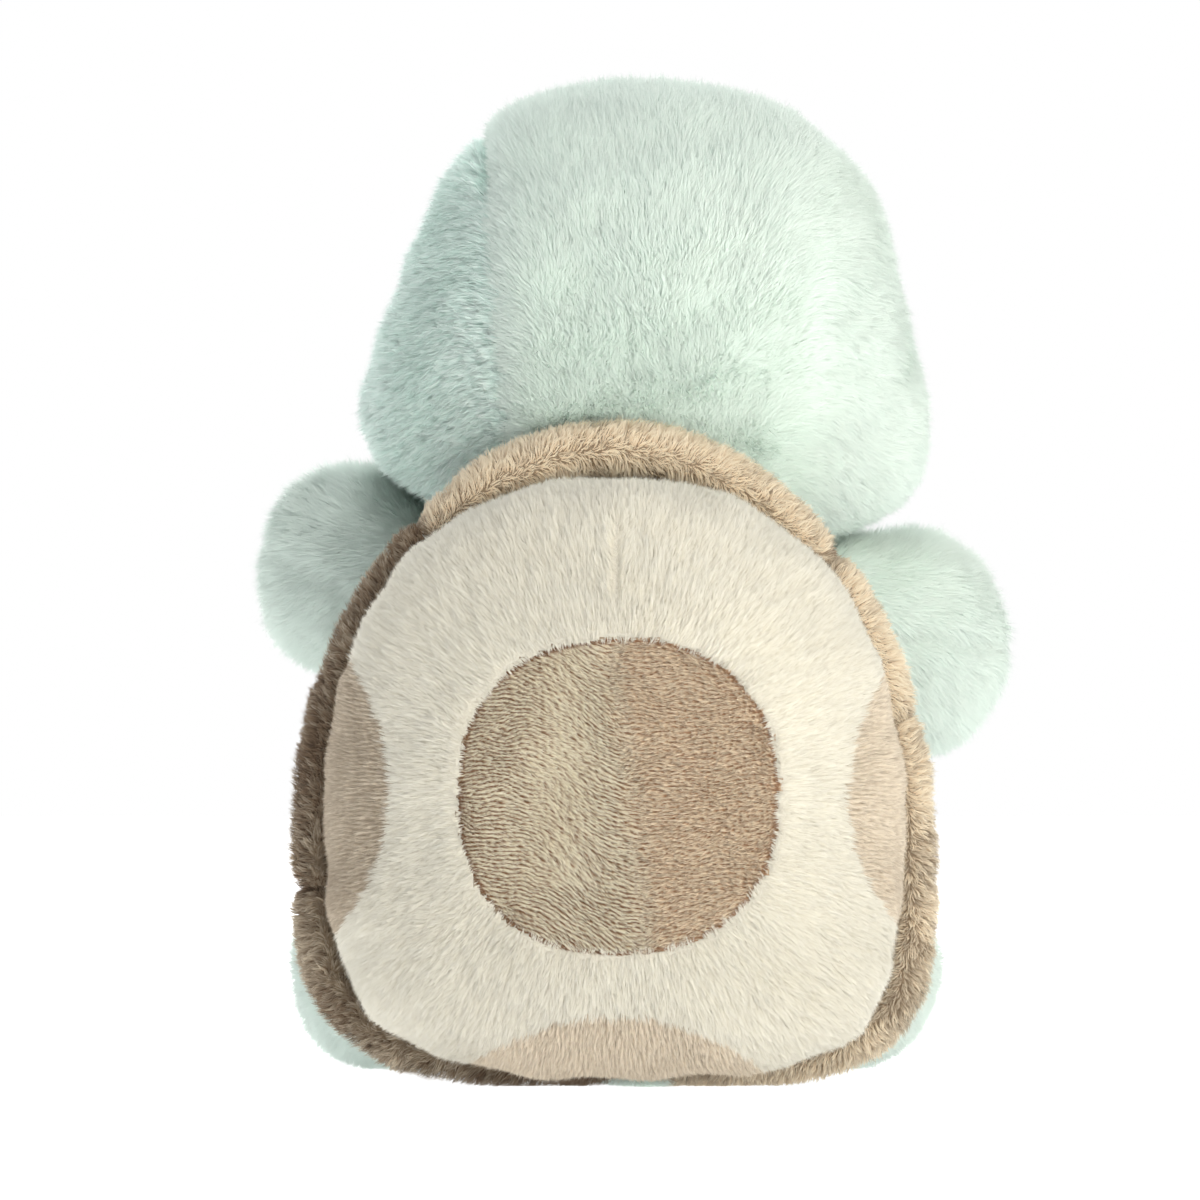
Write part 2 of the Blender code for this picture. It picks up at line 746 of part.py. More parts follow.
def make_legs(floor):
    hip_z = LEG_HALF_HEIGHT - FLOOR_PRESS
    for side, sign in SIDES.items():
        hip = Vector((sign * HIP_X, HIP_Y, hip_z))
        carrier = carrier_at(side + "_hip", hip, (0, 0, sign * LEG_SPLAY[side]))
        body_rooms = rooms_along(side + "_leg_body", body_form, spread(LEG_LIFT, ROOM_STEPS), hip)
        hollow = skin_cutter(side + "_leg_hollow", leg_form, FUR_CLOTH, carrier)
        seam = SOLE_DEPTH - LEG_LENGTH
        spans = {
            side + "_leg_cover": beyond("Y", seam),
            side + "_sole_panel": short_of("Y", seam - SEAM_GAP),
        }
        for name, bm in spans.items():
            panel = keep(piece(name, leg_form(), MINT, carrier), cutter(name + "_span", bm, carrier))
            cut(panel, hollow, *body_rooms, floor)
        cut(piece(side + "_leg_filling", filling(leg_form, FUR_CLOTH), FIBRE, carrier), *body_rooms)


def base_inset():
    """How far in the base's edge lies from the outline, to meet the rolls of the rim."""
    depth_share = (RIM_Y - BASE_Y - BASE_THICKNESS) / RIM_HALF_DEPTH
    return RIM_RADIUS * (1 + math.sqrt(1 - depth_share**2)) + 2 * SEAM_GAP


def make_shell(floor):
    front = cutter("dome_front", short_of("Y", BASE_Y + BASE_THICKNESS + SEAM_GAP))
    hollow = skin_cutter("dome_hollow", dome_form, SHELL_CLOTH, SHELL)
    bottom_z = BOTTOM_PATCH_TOP_Z - BOTTOM_PATCH_RADIUS
    side_x = SIDE_PATCH_INNER + SIDE_PATCH_RADIUS
    outlines = {
        "centre_patch": (PATCH_X, PATCH_Z, PATCH_HALF_WIDTH, PATCH_HALF_HEIGHT, PATCH_POWER),
        "left_patch": (side_x, SIDE_PATCH_Z, SIDE_PATCH_RADIUS, SIDE_PATCH_RADIUS, 2),
        "right_patch": (-side_x, SIDE_PATCH_Z, SIDE_PATCH_RADIUS, SIDE_PATCH_RADIUS, 2),
        "bottom_patch": (0, bottom_z, BOTTOM_PATCH_RADIUS, BOTTOM_PATCH_RADIUS, 2),
    }
    cover = cut(piece("shell_cover", dome_form(), CREAM, SHELL), front, hollow)
    for name, (x, z, half_width, half_height, power) in outlines.items():
        patch = piece(name, dome_form(), TAN, SHELL)
        keep(patch, cutter(name + "_outline", panel_prism(x, z, half_width, half_height, power), SHELL))
        cut(patch, front, hollow)
        room = panel_prism(x, z, half_width + SEAM_GAP, half_height + SEAM_GAP, power)
        cut(cover, cutter(name + "_room", room, SHELL))
    cut(piece("shell_filling", filling(dome_form, SHELL_CLOTH), FIBRE, SHELL), front)

    base = unit_cylinder(BASE_SEGMENTS)
    for vert in base.verts:
        edge = outline_point(math.atan2(vert.co.x, vert.co.y), base_inset())
        vert.co = (edge.x, BASE_Y + BASE_THICKNESS * (vert.co.z + 1 / 2), edge.z)
    piece("shell_base", base, TAN, SHELL)

    core = cutter("rim_core", rim_core(RIM_CORE_RADIUS + SEAM_GAP), SHELL)
    dome_room = cutter("dome_room", grown(dome_form(), SEAM_GAP), SHELL)
    tail_room = cutter("tail_room", grown(tail_form(), SEAM_GAP))
    seams = [math.radians(angle) for angle in RIM_SEAMS]
    for name, start, end in zip(RIM_NAMES, seams, seams[1:] + [seams[0] + math.tau]):
        roll = piece(name, rim_roll(start, end), TAN, SHELL)
        cut(roll, core, dome_room, tail_room, floor)
    piece("rim_filling", rim_core(RIM_CORE_RADIUS), FIBRE, SHELL)


clear_scene()
TURTLE = new_collection("plush_turtle")
CUTTERS = new_collection("cutters")
CUTTERS.hide_render = True
NECK = carrier_at("neck", (0, BODY_Y, NECK_Z))
HEAD = carrier_at("head_on_neck", (0, BODY_Y, NECK_Z), (0, HEAD_TILT, 0))
SHELL = carrier_at("shell_middle", (SHELL_X, 0, 0))
bpy.context.view_layer.update()

BODY_TOOLS = make_body()
make_head()
make_arms()
make_legs(BODY_TOOLS["floor"])
make_shell(BODY_TOOLS["floor"])
bpy.context.view_layer.update()
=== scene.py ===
# %% [markdown]
# # A seated plush turtle
#
# The turtle is a stuffed toy: fibre stuffing inside sewn panels of cloth, and every panel is covered in
# pile. A solid model of it already exists, with the right places and sizes. This script dresses that
# model. Each stuffed form is drawn again, already as round as its stuffing makes it, with a fine and even
# mesh. It is settled by a short cloth simulation, cut into its sewn panels, and covered in thousands of
# short strands. The pile is what makes it look like a soft toy.

# %% Open the solid model
import json
import math

import bmesh
import bpy
import numpy as np
from mathutils import Euler, Matrix, Vector
from mathutils.bvhtree import BVHTree

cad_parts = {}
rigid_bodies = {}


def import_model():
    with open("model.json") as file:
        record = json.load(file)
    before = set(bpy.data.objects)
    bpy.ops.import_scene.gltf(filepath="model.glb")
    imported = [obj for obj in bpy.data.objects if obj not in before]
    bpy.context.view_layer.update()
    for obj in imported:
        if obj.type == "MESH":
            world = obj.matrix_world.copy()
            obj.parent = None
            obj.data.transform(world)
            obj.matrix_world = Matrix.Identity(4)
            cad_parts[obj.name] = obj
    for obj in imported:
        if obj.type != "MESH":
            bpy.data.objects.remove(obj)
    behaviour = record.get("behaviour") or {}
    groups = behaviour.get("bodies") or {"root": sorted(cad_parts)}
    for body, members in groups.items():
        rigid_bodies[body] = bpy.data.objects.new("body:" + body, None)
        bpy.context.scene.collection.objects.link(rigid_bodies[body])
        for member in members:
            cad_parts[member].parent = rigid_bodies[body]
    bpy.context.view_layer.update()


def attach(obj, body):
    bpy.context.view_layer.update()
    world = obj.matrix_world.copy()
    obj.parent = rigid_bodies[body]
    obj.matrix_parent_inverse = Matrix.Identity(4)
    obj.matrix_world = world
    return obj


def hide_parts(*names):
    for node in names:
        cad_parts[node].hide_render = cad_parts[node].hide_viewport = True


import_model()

# %% [markdown]
# ## Numbers that vary over a surface
#
# A shader is a graph of nodes. Written as Python it reads better: a small class wraps a socket, and
# adding or multiplying two of them adds the Math node for it. Colours go through Mix nodes, because a
# Math node would turn them grey.


# %% Wrap a shader socket
class Varying:
    """A value that changes over the surface. Arithmetic on it adds Math nodes."""

    def __init__(self, finish, socket):
        self.finish = finish
        self.socket = socket

    def maths(self, operation, first, second):
        return self.finish.node("ShaderNodeMath", {"operation": operation}, {0: first, 1: second})

    def __add__(self, other):
        return self.maths("ADD", self, other)

    def __sub__(self, other):
        return self.maths("SUBTRACT", self, other)

    def __rsub__(self, other):
        return self.maths("SUBTRACT", other, self)

    def __mul__(self, other):
        return self.maths("MULTIPLY", self, other)

    def __pow__(self, other):
        return self.maths("POWER", self, other)

    __radd__ = __add__
    __rmul__ = __mul__

    def wave(self, length):
        """Rises and falls between 0 and 1, once in a length."""
        return 0.5 + 0.5 * self.maths("SINE", self * (math.tau / length), 0)


class Finish:
    """A material under construction."""

    def __init__(self, name, **constants):
        self.material = bpy.data.materials.new(name)
        self.material.use_nodes = True
        self.tree = self.material.node_tree
        self.surface = self.tree.nodes["Principled BSDF"]
        for socket, value in constants.items():
            self.surface.inputs[socket.replace("_", " ")].default_value = value

    def node(self, kind, settings=None, values=None, output=0):
        """Adds a node: its settings first, then what its sockets hold or are linked to."""
        made = self.tree.nodes.new(kind)
        for name, value in (settings or {}).items():
            setattr(made, name, value)
        for name, value in (values or {}).items():
            if isinstance(value, Varying):
                self.tree.links.new(value.socket, made.inputs[name])
            else:
                made.inputs[name].default_value = value
        return Varying(self, made.outputs[output])

    def blend(self, factor, first, second):
        """Goes from one colour to another."""
        colours = [(*c, 1) if isinstance(c, tuple) else c for c in (first, second)]
        settings = {"data_type": "RGBA"}
        return self.node("ShaderNodeMix", settings, {0: factor, 6: colours[0], 7: colours[1]}, output=2)

    def parts(self, vector):
        """The three numbers of a vector."""
        split = self.node("ShaderNodeSeparateXYZ", values={0: vector})
        return [Varying(self, socket) for socket in split.socket.node.outputs]

    def place(self):
        """Where a point lies on the piece, in metres."""
        return self.node("ShaderNodeTexCoord", output=3)

    def noise(self, size, detail):
        """Soft cloudy noise from 0 to 1, with lumps about as large as size, in metres."""
        values = {"Vector": self.place(), "Scale": 1 / size, "Detail": detail}
        return self.node("ShaderNodeTexNoise", values=values)

    def link(self, socket, value):
        self.tree.links.new(value.socket, self.surface.inputs[socket])

    def bump(self, height, distance):
        values = {"Height": height, "Distance": distance, "Strength": 1}
        self.link("Normal", self.node("ShaderNodeBump", values=values))

    def mix_shaders(self, share, second):
        """Mixes a share of a second shader into the surface."""
        both = self.node("ShaderNodeMixShader", values={0: share})
        self.tree.links.new(self.surface.outputs[0], both.socket.node.inputs[1])
        self.tree.links.new(second.socket, both.socket.node.inputs[2])
        self.tree.links.new(both.socket, self.tree.nodes["Material Output"].inputs["Surface"])


# %% [markdown]
# ## Pile finishes
#
# A strand of pile is painted darker at its root, as the shade where no light gets in, and pale at its
# tip, as painted shine where it catches the light. Each strand also has its own tone. Both are written on
# the mesh as a map called "pile": across is the strand's tone and up is the height along the strand. So
# one small material colours every strand, and it needs no picture.


# %% Pile finishes
def linear(red, green, blue):
    """A colour as a screen shows it, from 0 to 255, made linear."""
    shares = (value / 255 for value in (red, green, blue))
    return tuple(s / 12.92 if s <= 0.04045 else ((s + 0.055) / 1.055) ** 2.4 for s in shares)


TURN_X, TURN_LEAN = 0.0101, 0.13


def pile_finish(name, colours, reach, turned=None):
    """Takes the colours of dark and light roots and of dark and light tips.

    Turned is the colour to which the pile leans on the right of the slanting line across the centre patch,
    where it is brushed the other way. It is painted light: the warmer, paler look of pile that meets the
    light.
    """
    finish = Finish(name, Roughness=0.85, Specular_IOR_Level=0.25, Sheen_Weight=0.06, Sheen_Roughness=0.5)
    tone, height, _ = finish.parts(finish.node("ShaderNodeUVMap", {"uv_map": "pile"}))
    root_dark, root_light, tip_dark, tip_light = (linear(*colour) for colour in colours)
    # Painted shade and light: the roots' colours are the shade deep in the pile, and the tips' paler colours
    # are the light they catch.
    roots = finish.blend(tone, root_dark, root_light)
    tips = finish.blend(tone, tip_dark, tip_light)
    colour = finish.blend(height**reach, roots, tips)
    # Painted light: the pile brushed the other way on the right of the patch is tinted warmer and paler, as
    # it catches the light.
    if turned:
        across, _, up = finish.parts(finish.place())
        right = 0.5 - (across - TURN_LEAN * up + TURN_X) * (1 / 0.009)
        right = finish.node("ShaderNodeMath", {"operation": "MULTIPLY", "use_clamp": True}, {0: right, 1: 1})
        colour = finish.blend(0.2 * right, colour, linear(*turned))
    finish.link("Base Color", colour)
    finish.mix_shaders(0.5, finish.node("ShaderNodeBsdfTranslucent", values={"Color": colour}))
    return finish.material


MINT = pile_finish("mint_fur", ((229, 240, 235), (238, 246, 242), (232, 244, 237), (245, 252, 247)), 0.7)
ROUGH_COLOURS = ((194, 220, 212), (236, 250, 245), (232, 252, 244), (250, 255, 253))
ROUGH = pile_finish("rough_mint_fur", ROUGH_COLOURS, 0.8)
CREAM = pile_finish("cream_pile", ((214, 209, 196), (234, 231, 219), (237, 234, 222), (250, 249, 241)), 0.7)
TAN_COLOURS = ((112, 84, 60), (212, 198, 170), (162, 124, 96), (250, 249, 233))
TAN = pile_finish("tan_pile", TAN_COLOURS, 0.8, (255, 205, 160))
PALE = pile_finish("pale_tan_pile", ((160, 144, 124), (222, 208, 188), (196, 182, 162), (252, 244, 228)), 0.8)
RIM = pile_finish("rim_pile", ((76, 60, 46), (236, 214, 184), (152, 128, 104), (255, 249, 229)), 0.9)
print("pile finishes:", [material.name for material in (MINT, ROUGH, CREAM, TAN, PALE, RIM)])

# %% [markdown]
# ## Objects and tubes
#
# Two things come back all the way through. A mesh is put in the scene as an object, and rings of points
# are bridged from one to the next, which makes a tube with closed ends.


# %% Objects and tubes
def placed(name, data):
    """An object in the scene."""
    item = bpy.data.objects.new(name, data)
    bpy.context.scene.collection.objects.link(item)
    return item


def object_of(name, bm, smooth=True):
    mesh = bpy.data.meshes.new(name)
    bm.to_mesh(mesh)
    bm.free()
    mesh.polygons.foreach_set("use_smooth", np.full(len(mesh.polygons), smooth))
    return placed(name, mesh)


def ring_edges(ring):
    return list({edge for vert in ring for edge in vert.link_edges})


def bridge(bm, loops):
    for first, second in zip(loops, loops[1:]):
        bmesh.ops.bridge_loops(bm, edges=first + second)
    for loop in (loops[0], loops[-1]):
        bmesh.ops.contextual_create(bm, geom=loop)


# %% [markdown]
# ## Stuffed forms
#
# A stuffed panel bag is rounder than a box and squarer than a ball. A superellipsoid says that with one
# number: how far it reaches in a direction depends on its reach to each of its six sides, and a higher
# power makes it squarer. The same rule drew the solid model, so a finer mesh of it lies exactly on that
# model.


# %% Stuffed forms
def reach_of(direction, reach, power):
    sides = [reach[axis][direction[axis] > 0] for axis in range(3)]
    return sum((abs(direction[axis]) / sides[axis]) ** power for axis in range(3)) ** (-1 / power)


def share_at(rows, height, column=1, soften=0.0):
    """Reads a table of shares, with its corners rounded off over a height."""
    heights = height + soften * np.linspace(-1, 1, 9)
    return float(np.interp(heights, [row[0] for row in rows], [row[column] for row in rows]).mean())


def round_form(rounds=64, rings=44):
    bm = bmesh.new()
    bmesh.ops.create_uvsphere(bm, u_segments=rounds, v_segments=rings, radius=1)
    return bm


def swollen(centre, reach, power, turn=None):
    """A superellipsoid. Its power is a number, or a function of the direction from its centre."""
    bm = round_form()
    if turn:
        bmesh.ops.transform(bm, matrix=turn, verts=bm.verts)
    for vert in bm.verts:
        direction = vert.co.normalized()
        local_power = power(direction) if callable(power) else power
        vert.co = Vector(centre) + direction * reach_of(direction, reach, local_power)
    return bm


def limb(length, root, half_width, half_height, shares):
    """A stuffed arm or leg along -Y, round at its tip and swelling towards it."""
    bm = round_form()
    for vert in bm.verts:
        across = Vector((vert.co.x, vert.co.y))
        around = across.normalized() if across.length > 0 else across
        if vert.co.z > 0:
            along, share = vert.co.z * length, share_at(shares, vert.co.z)
        else:
            along, share = vert.co.z * root, shares[0][1] * across.length
        vert.co = (around.x * share * half_width, -along, around.y * share * half_height)
    return bm


# %% [markdown]
# ## The turtle's sizes
#
# These are the sizes of the real toy, in metres, as the solid model has them.

# %% Sizes
NECK = Vector((0, 0, 0.146))
HEAD_PLACE = Matrix.Translation(NECK) @ Matrix.Rotation(math.radians(-4), 4, "Y")
HEAD_MIDDLE = Vector((-0.003, -0.006, 0.0465))
HEAD_DOWN, HEAD_UP = 0.060, 0.062
HEAD_SHARES = (
    (0.00, 1.36, 1.24, 0.80),
    (0.06, 1.35, 1.24, 0.76),
    (0.14, 1.26, 1.19, 0.72),
    (0.22, 1.16, 1.13, 0.70),
    (0.30, 1.07, 1.08, 0.74),
    (0.40, 0.98, 1.04, 0.88),
    (0.52, 0.90, 1.01, 0.98),
    (0.64, 0.87, 1.00, 1.00),
    (0.80, 0.91, 0.98, 1.00),
    (1.00, 1.00, 1.00, 1.00),
)
GUSSET = 0.0365
ARM_SHARES = ((0, 0.70), (0.25, 0.84), (0.45, 0.96), (0.62, 1.0), (0.80, 0.88), (0.92, 0.61), (1, 0))
LEG_SHARES = ((0, 0.82), (0.25, 0.88), (0.50, 0.97), (0.70, 1.0), (0.86, 0.90), (0.95, 0.66), (1, 0))
ARM_HALF_HEIGHT = {"left": 0.0285, "right": 0.0305}
ARM_DROOP = {"left": math.radians(-22), "right": math.radians(4)}
SOLE_Y = -0.067
SEAT_Z, SIDE_Y = 0.012, 0.004
MUZZLE_MIDDLE = Vector((HEAD_MIDDLE.x, -0.050, 0.025))
MUZZLE_REACH = ((0.029, 0.029), (0.022, 0.022), (0.018, 0.018))
DART_X = -0.0005
LEG_SPLAY = {"left": math.radians(28), "right": math.radians(21)}
SIDES = {"left": 1, "right": -1}
SHELL_X = 0.0035
RIM_Y = 0.040
RIM_RADIUS = 0.0075
RIM_SEAMS = (-36.7, 31.0, 97.7, 180.0, 295.0)
RIM_NAMES = ("collar_rim", "left_rim", "lower_left_rim", "lower_right_rim", "right_rim")


def arm_place(side):
    turn = Euler((ARM_DROOP[side], 0, SIDES[side] * math.radians(53)))
    return Matrix.Translation((SIDES[side] * 0.039, -0.004, 0.114)) @ turn.to_matrix().to_4x4()


def leg_place(side):
    turn = Matrix.Rotation(SIDES[side] * LEG_SPLAY[side], 4, "Z")
    return Matrix.Translation((SIDES[side] * 0.036, -0.022, 0.0253)) @ turn


def head_form(soften=0.12):
    """Bell-shaped head, fuller at the cheeks and scooped at the nape, in its own axes."""
    bm = swollen((0, 0, 0), ((0.0725, 0.0725), (0.052, 0.055), (HEAD_DOWN, HEAD_UP)), 2.1)
    for vert in bm.verts:
        height = (vert.co.z + HEAD_DOWN) / (HEAD_UP + HEAD_DOWN)
        side, front = (share_at(HEAD_SHARES, height, column, soften) for column in (1, 2))
        back = share_at(HEAD_SHARES, height, 3, 2 * soften)
        vert.co.x *= side
        vert.co.y *= back if vert.co.y > 0 else front
        vert.co += HEAD_MIDDLE
    return bm


def body_form():
    """The body, with the round neck on which the head turns."""
    bm = swollen((0, 0, 0.050), ((0.056, 0.056), (0.048, 0.037), (0.0505, 0.080)), 2.6)
    neck = Matrix.Translation(NECK)
    bmesh.ops.create_uvsphere(bm, u_segments=40, v_segments=24, radius=0.0270, matrix=neck)
    return bm


def dome_power(direction):
    """The dome is squarer low down, where it bulges over the rim, most of all on the turtle's right."""
    low = min(1, max(0, -1.6 * direction.z))
    behind_rim = min(1, max(0, (direction.y + 0.14) / 0.12))
    side = max(-1, min(1, 2 * direction.x))
    return 2.35 + low * behind_rim * (0.9 - 0.3 * side)


def dome_form():
    """The padded dome of the shell, which sags a little lower the further it stands out."""
    reach = ((0.073, 0.073), (0.034, 0.034), (0.0575, 0.092))
    bm = swollen((0, 0, 0), reach, dome_power, Matrix.Rotation(math.radians(90), 4, "X"))
    for vert in bm.verts:
        vert.co += Vector((SHELL_X, 0.058, 0.065 - 0.007 * (vert.co.y + 0.034) / 0.068))
    return bm


def muzzle_form():
    return swollen(MUZZLE_MIDDLE, MUZZLE_REACH, 2.2)


def tail_form():
    return swollen((-0.004, 0.032, 0.001), ((0.011, 0.011), (0.030, 0.022), (0.0005, 0.0042)), 2)


# %% [markdown]
# ## The rolled rim
#
# The rim is five stuffed rolls sewn end to end round the shell. Each is full in its middle and pinched
# where the next one starts. A roll is a ring of points moved along the shell's outline and bridged from
# station to station, which bmesh calls a bridge of edge loops.


# %% The rolled rim
def outline_point(angle, inset):
    """A point of the shell's outline, at an angle from its top towards the turtle's left side."""
    across, up = math.sin(angle), math.cos(angle)
    height, power = (0.1075, 2.0) if up > 0 else (0.0605, 3.6 if across > 0 else 4.4)
    total = (abs(across) / (0.0815 - inset)) ** power + (abs(up) / (height - inset)) ** power
    return Vector((SHELL_X + across * total ** (-1 / power), RIM_Y, 0.060 + up * total ** (-1 / power)))


def roll_form(start, end, steps=46, sides=20):
    bm = bmesh.new()
    loops = []
    for step in range(steps + 1):
        along = step / steps
        angle = start + (end - start) * along
        middle = outline_point(angle, RIM_RADIUS)
        ahead = outline_point(angle + 0.01, RIM_RADIUS) - outline_point(angle - 0.01, RIM_RADIUS)
        outward = ahead.normalized().cross(Vector((0, -1, 0)))
        fullness = 0.62 + 0.38 * math.sin(math.pi * along) ** 0.2
        ring = bmesh.ops.create_circle(bm, segments=sides, radius=1)["verts"]
        for vert in ring:
            out, deep = vert.co.x * RIM_RADIUS * fullness, vert.co.y * 0.009 * fullness
            vert.co = middle + outward * out + Vector((0, deep, 0))
        loops.append(ring_edges(ring))
    bridge(bm, loops)
    bmesh.ops.recalc_face_normals(bm, faces=bm.faces)
    return bm


# %% [markdown]
# ## Settling the cloth
#
# Stuffing pushes a bag out evenly, and the seams hold it in. Each form is remeshed into even squares and
# drawn in by the thickness of its pile. Its seams are pinned, and a cloth simulation puts it under light
# pressure for twenty frames. The forms are round and closed to begin with, so the pressure has little left
# to do: it moves the cloth by a tenth of a millimetre at most, and the cap is never reached. The fullness
# that shows is the forms' own, with the creases and lumps of the next step.


# %% Prepare a form for the simulation
def even_mesh(name, bm, voxel, inset, place=None):
    """Remeshes a closed form into even squares and draws it in by the depth of its pile."""
    if place:
        bmesh.ops.transform(bm, matrix=place, verts=bm.verts)
    bm.normal_update()
    if bm.calc_volume(signed=True) < 0:
        bmesh.ops.reverse_faces(bm, faces=bm.faces)
    for vert, move in [(vert, vert.normal * inset) for vert in bm.verts]:
        vert.co -= move
    item = object_of(name, bm, smooth=False)
    remesh = item.modifiers.new("even", "REMESH")
    remesh.mode = "VOXEL"
    remesh.voxel_size = voxel
    bake(item)
    return item


def bake(item):
    """Applies an object's modifiers to its mesh."""
    graph = bpy.context.evaluated_depsgraph_get()
    made = bpy.data.meshes.new_from_object(item.evaluated_get(graph))
    item.modifiers.clear()
    old, item.data = item.data, made
    bpy.data.meshes.remove(old)


def points_of(mesh):
    flat = np.empty(len(mesh.vertices) * 3)
    mesh.vertices.foreach_get("co", flat)
    return flat.reshape(-1, 3)


def normals_of(mesh):
    flat = np.empty(len(mesh.vertices) * 3)
    mesh.vertex_normals.foreach_get("vector", flat)
    return flat.reshape(-1, 3)


def pin_seams(item, distance, width):
    """Pins the points that lie within a width of a seam, less and less towards its edge."""
    group = item.vertex_groups.new(name="seam")
    near = np.clip(1 - distance(points_of(item.data)) / width, 0, 1)
    for index in np.nonzero(near > 0)[0]:
        group.add([int(index)], float(near[index]), "REPLACE")


# %% Describe the seams
def axes_of(points, place):
    """Points in the axes of the head or of a limb."""
    back = np.array(place.inverted())
    return points @ back[:3, :3].T + back[:3, 3]


def head_axes(points):
    return axes_of(points, HEAD_PLACE)


def head_x(points):
    return head_axes(points)[:, 0] - HEAD_MIDDLE.x


def past_gusset(points):
    """How far points lie beyond the centre panel. Its left seam leans outwards towards the top."""
    x, z = head_x(points), head_axes(points)[:, 2]
    return abs(x) - GUSSET - np.where(x > 0, 0.0015 + 0.14 * (z - 0.046), 0)


def head_seam(points):
    return abs(past_gusset(points))


def body_seam(points):
    side = np.where(points[:, 2] > SEAT_Z, abs(points[:, 1] - SIDE_Y), 1)
    return np.minimum(side, abs(points[:, 2] - SEAT_Z))


def superellipse(points, x, z, half_width, half_height, power):
    """Less than 1 inside an outline seen from behind, and more outside it."""
    across = abs(points[:, 0] - SHELL_X - x) / half_width
    up = abs(points[:, 2] - z) / half_height
    return (across**power + up**power) ** (1 / power)


PATCHES = {
    "centre_patch": (-0.001, 0.074, 0.040, 0.039, 2.35),
    "left_patch": (0.105, 0.0755, 0.050, 0.052, 2),
    "right_patch": (-0.105, 0.0745, 0.048, 0.048, 2),
    "bottom_patch": (0, -0.038, 0.058, 0.058, 2),
}


def dome_seam(points):
    edges = [abs(superellipse(points, *outline) - 1) * min(outline[2:4]) for outline in PATCHES.values()]
    end = np.clip((points[:, 2] - 0.138) / 0.006, 0, 1)
    dart = np.where(points[:, 2] > 0.122, abs(points[:, 0] - SHELL_X - DART_X) + 0.002 + 0.01 * end, 1)
    return np.minimum(np.min(edges, axis=0), dart)


# %% Make every stuffed form
FUR_DEPTH = 0.0031
SHELL_DEPTH = 0.0017
RIM_DEPTH = 0.0019
forms = {
    "head": (even_mesh("head", head_form(), 0.0038, FUR_DEPTH, HEAD_PLACE), head_seam, 0.006),
    "muzzle": (even_mesh("muzzle", muzzle_form(), 0.0024, FUR_DEPTH, HEAD_PLACE), None, 0.003),
    "body": (even_mesh("body", body_form(), 0.0042, FUR_DEPTH), body_seam, 0.004),
    "tail": (even_mesh("tail", tail_form(), 0.0012, 0.0010), None, 0.001),
    "dome": (even_mesh("dome", dome_form(), 0.0032, SHELL_DEPTH), dome_seam, 0.004),
}
for side in SIDES:
    arm = limb(0.069, 0.018, 0.0245, ARM_HALF_HEIGHT[side], ARM_SHARES)
    leg = limb(0.078, 0.020, 0.0262, 0.0258, LEG_SHARES)
    arm_seam = lambda points, place=arm_place(side): abs(axes_of(points, place)[:, 2])
    leg_seam = lambda points, place=leg_place(side): abs(axes_of(points, place)[:, 1] - SOLE_Y)
    arm_mesh = even_mesh(side + "_arm", arm, 0.0033, FUR_DEPTH, arm_place(side))
    leg_mesh = even_mesh(side + "_leg", leg, 0.0036, FUR_DEPTH, leg_place(side))
    forms[side + "_arm"] = (arm_mesh, arm_seam, 0.003)
    forms[side + "_leg"] = (leg_mesh, leg_seam, 0.003)
for name, start, end in zip(RIM_NAMES, RIM_SEAMS, RIM_SEAMS[1:] + (RIM_SEAMS[0] + 360,)):
    roll = roll_form(math.radians(start - 1.6), math.radians(end + 1.6))
    forms[name] = (even_mesh(name, roll, 0.0021, RIM_DEPTH), None, 0.0015)
print("forms:", {name: len(item.data.polygons) for name, (item, _, _) in forms.items()})


# %% Settle the forms under pressure
def settle(forms, frames=20, pressure=4):
    starts = {}
    for name, (item, seam, cap) in forms.items():
        starts[name] = points_of(item.data)
        if seam:
            pin_seams(item, seam, 0.004)
        cloth = item.modifiers.new("stuffing", "CLOTH")
        cloth.settings.use_pressure = True
        cloth.settings.uniform_pressure_force = pressure
        cloth.settings.effector_weights.gravity = 0
        if seam:
            cloth.settings.vertex_group_mass = "seam"
        cloth.point_cache.frame_start, cloth.point_cache.frame_end = 1, frames
    for step in range(1, frames + 1):
        bpy.context.scene.frame_set(step)
    for name, (item, seam, cap) in forms.items():
        bake(item)
        moves = points_of(item.data) - starts[name]
        lengths = np.linalg.norm(moves, axis=1, keepdims=True)
        limited = starts[name] + moves * np.minimum(1, cap / np.maximum(lengths, 1e-9))
        item.data.vertices.foreach_set("co", limited.ravel())
        item.vertex_groups.clear()
        print(name, "moved by up to", round(1000 * float(np.minimum(lengths, cap).max()), 2), "mm")
    bpy.context.scene.frame_set(1)


settle({name: form for name, form in forms.items() if name not in RIM_NAMES + ("tail",)})


# %% [markdown]
# ## Creases and lumps
#
# A sewn seam draws the cloth in to a narrow valley, and stuffing is never quite even. Both are small
# moves of the finished form along its normals: a valley that depends on the distance to the seam, and a
# few soft waves.


# %% Creases and lumps
def waves(points, size, seed, count=7):
    """Smooth noise from about -1 to 1, made of a few waves in random directions."""
    random = np.random.default_rng(seed)
    total = np.zeros(len(points))
    for _ in range(count):
        direction = random.normal(size=3)
        direction /= np.linalg.norm(direction)
        length = size * random.uniform(0.7, 1.5)
        total += np.sin(points @ direction * math.tau / length + random.uniform(0, math.tau))
    return total / math.sqrt(count)


def gusset_step(points):
    """The centre panel stands a little proud of the side panels, most of all on the left."""
    x = head_x(points)
    beyond = past_gusset(points)
    size = np.where(x > 0, 0.0008, 0.0004)
    step = -size * np.tanh(beyond / 0.004) * np.exp(-((beyond / 0.014) ** 2))
    return step - 0.0020 * np.exp(-((beyond / 0.0018) ** 2)) * left_crown(points)


def left_crown(points):
    """From 0 to 1 where the left seam goes over the top of the head, which is where it is pulled in most."""
    x = head_x(points)
    return np.clip((points[:, 2] - 0.221) / 0.006, 0, 1) * (x > 0)


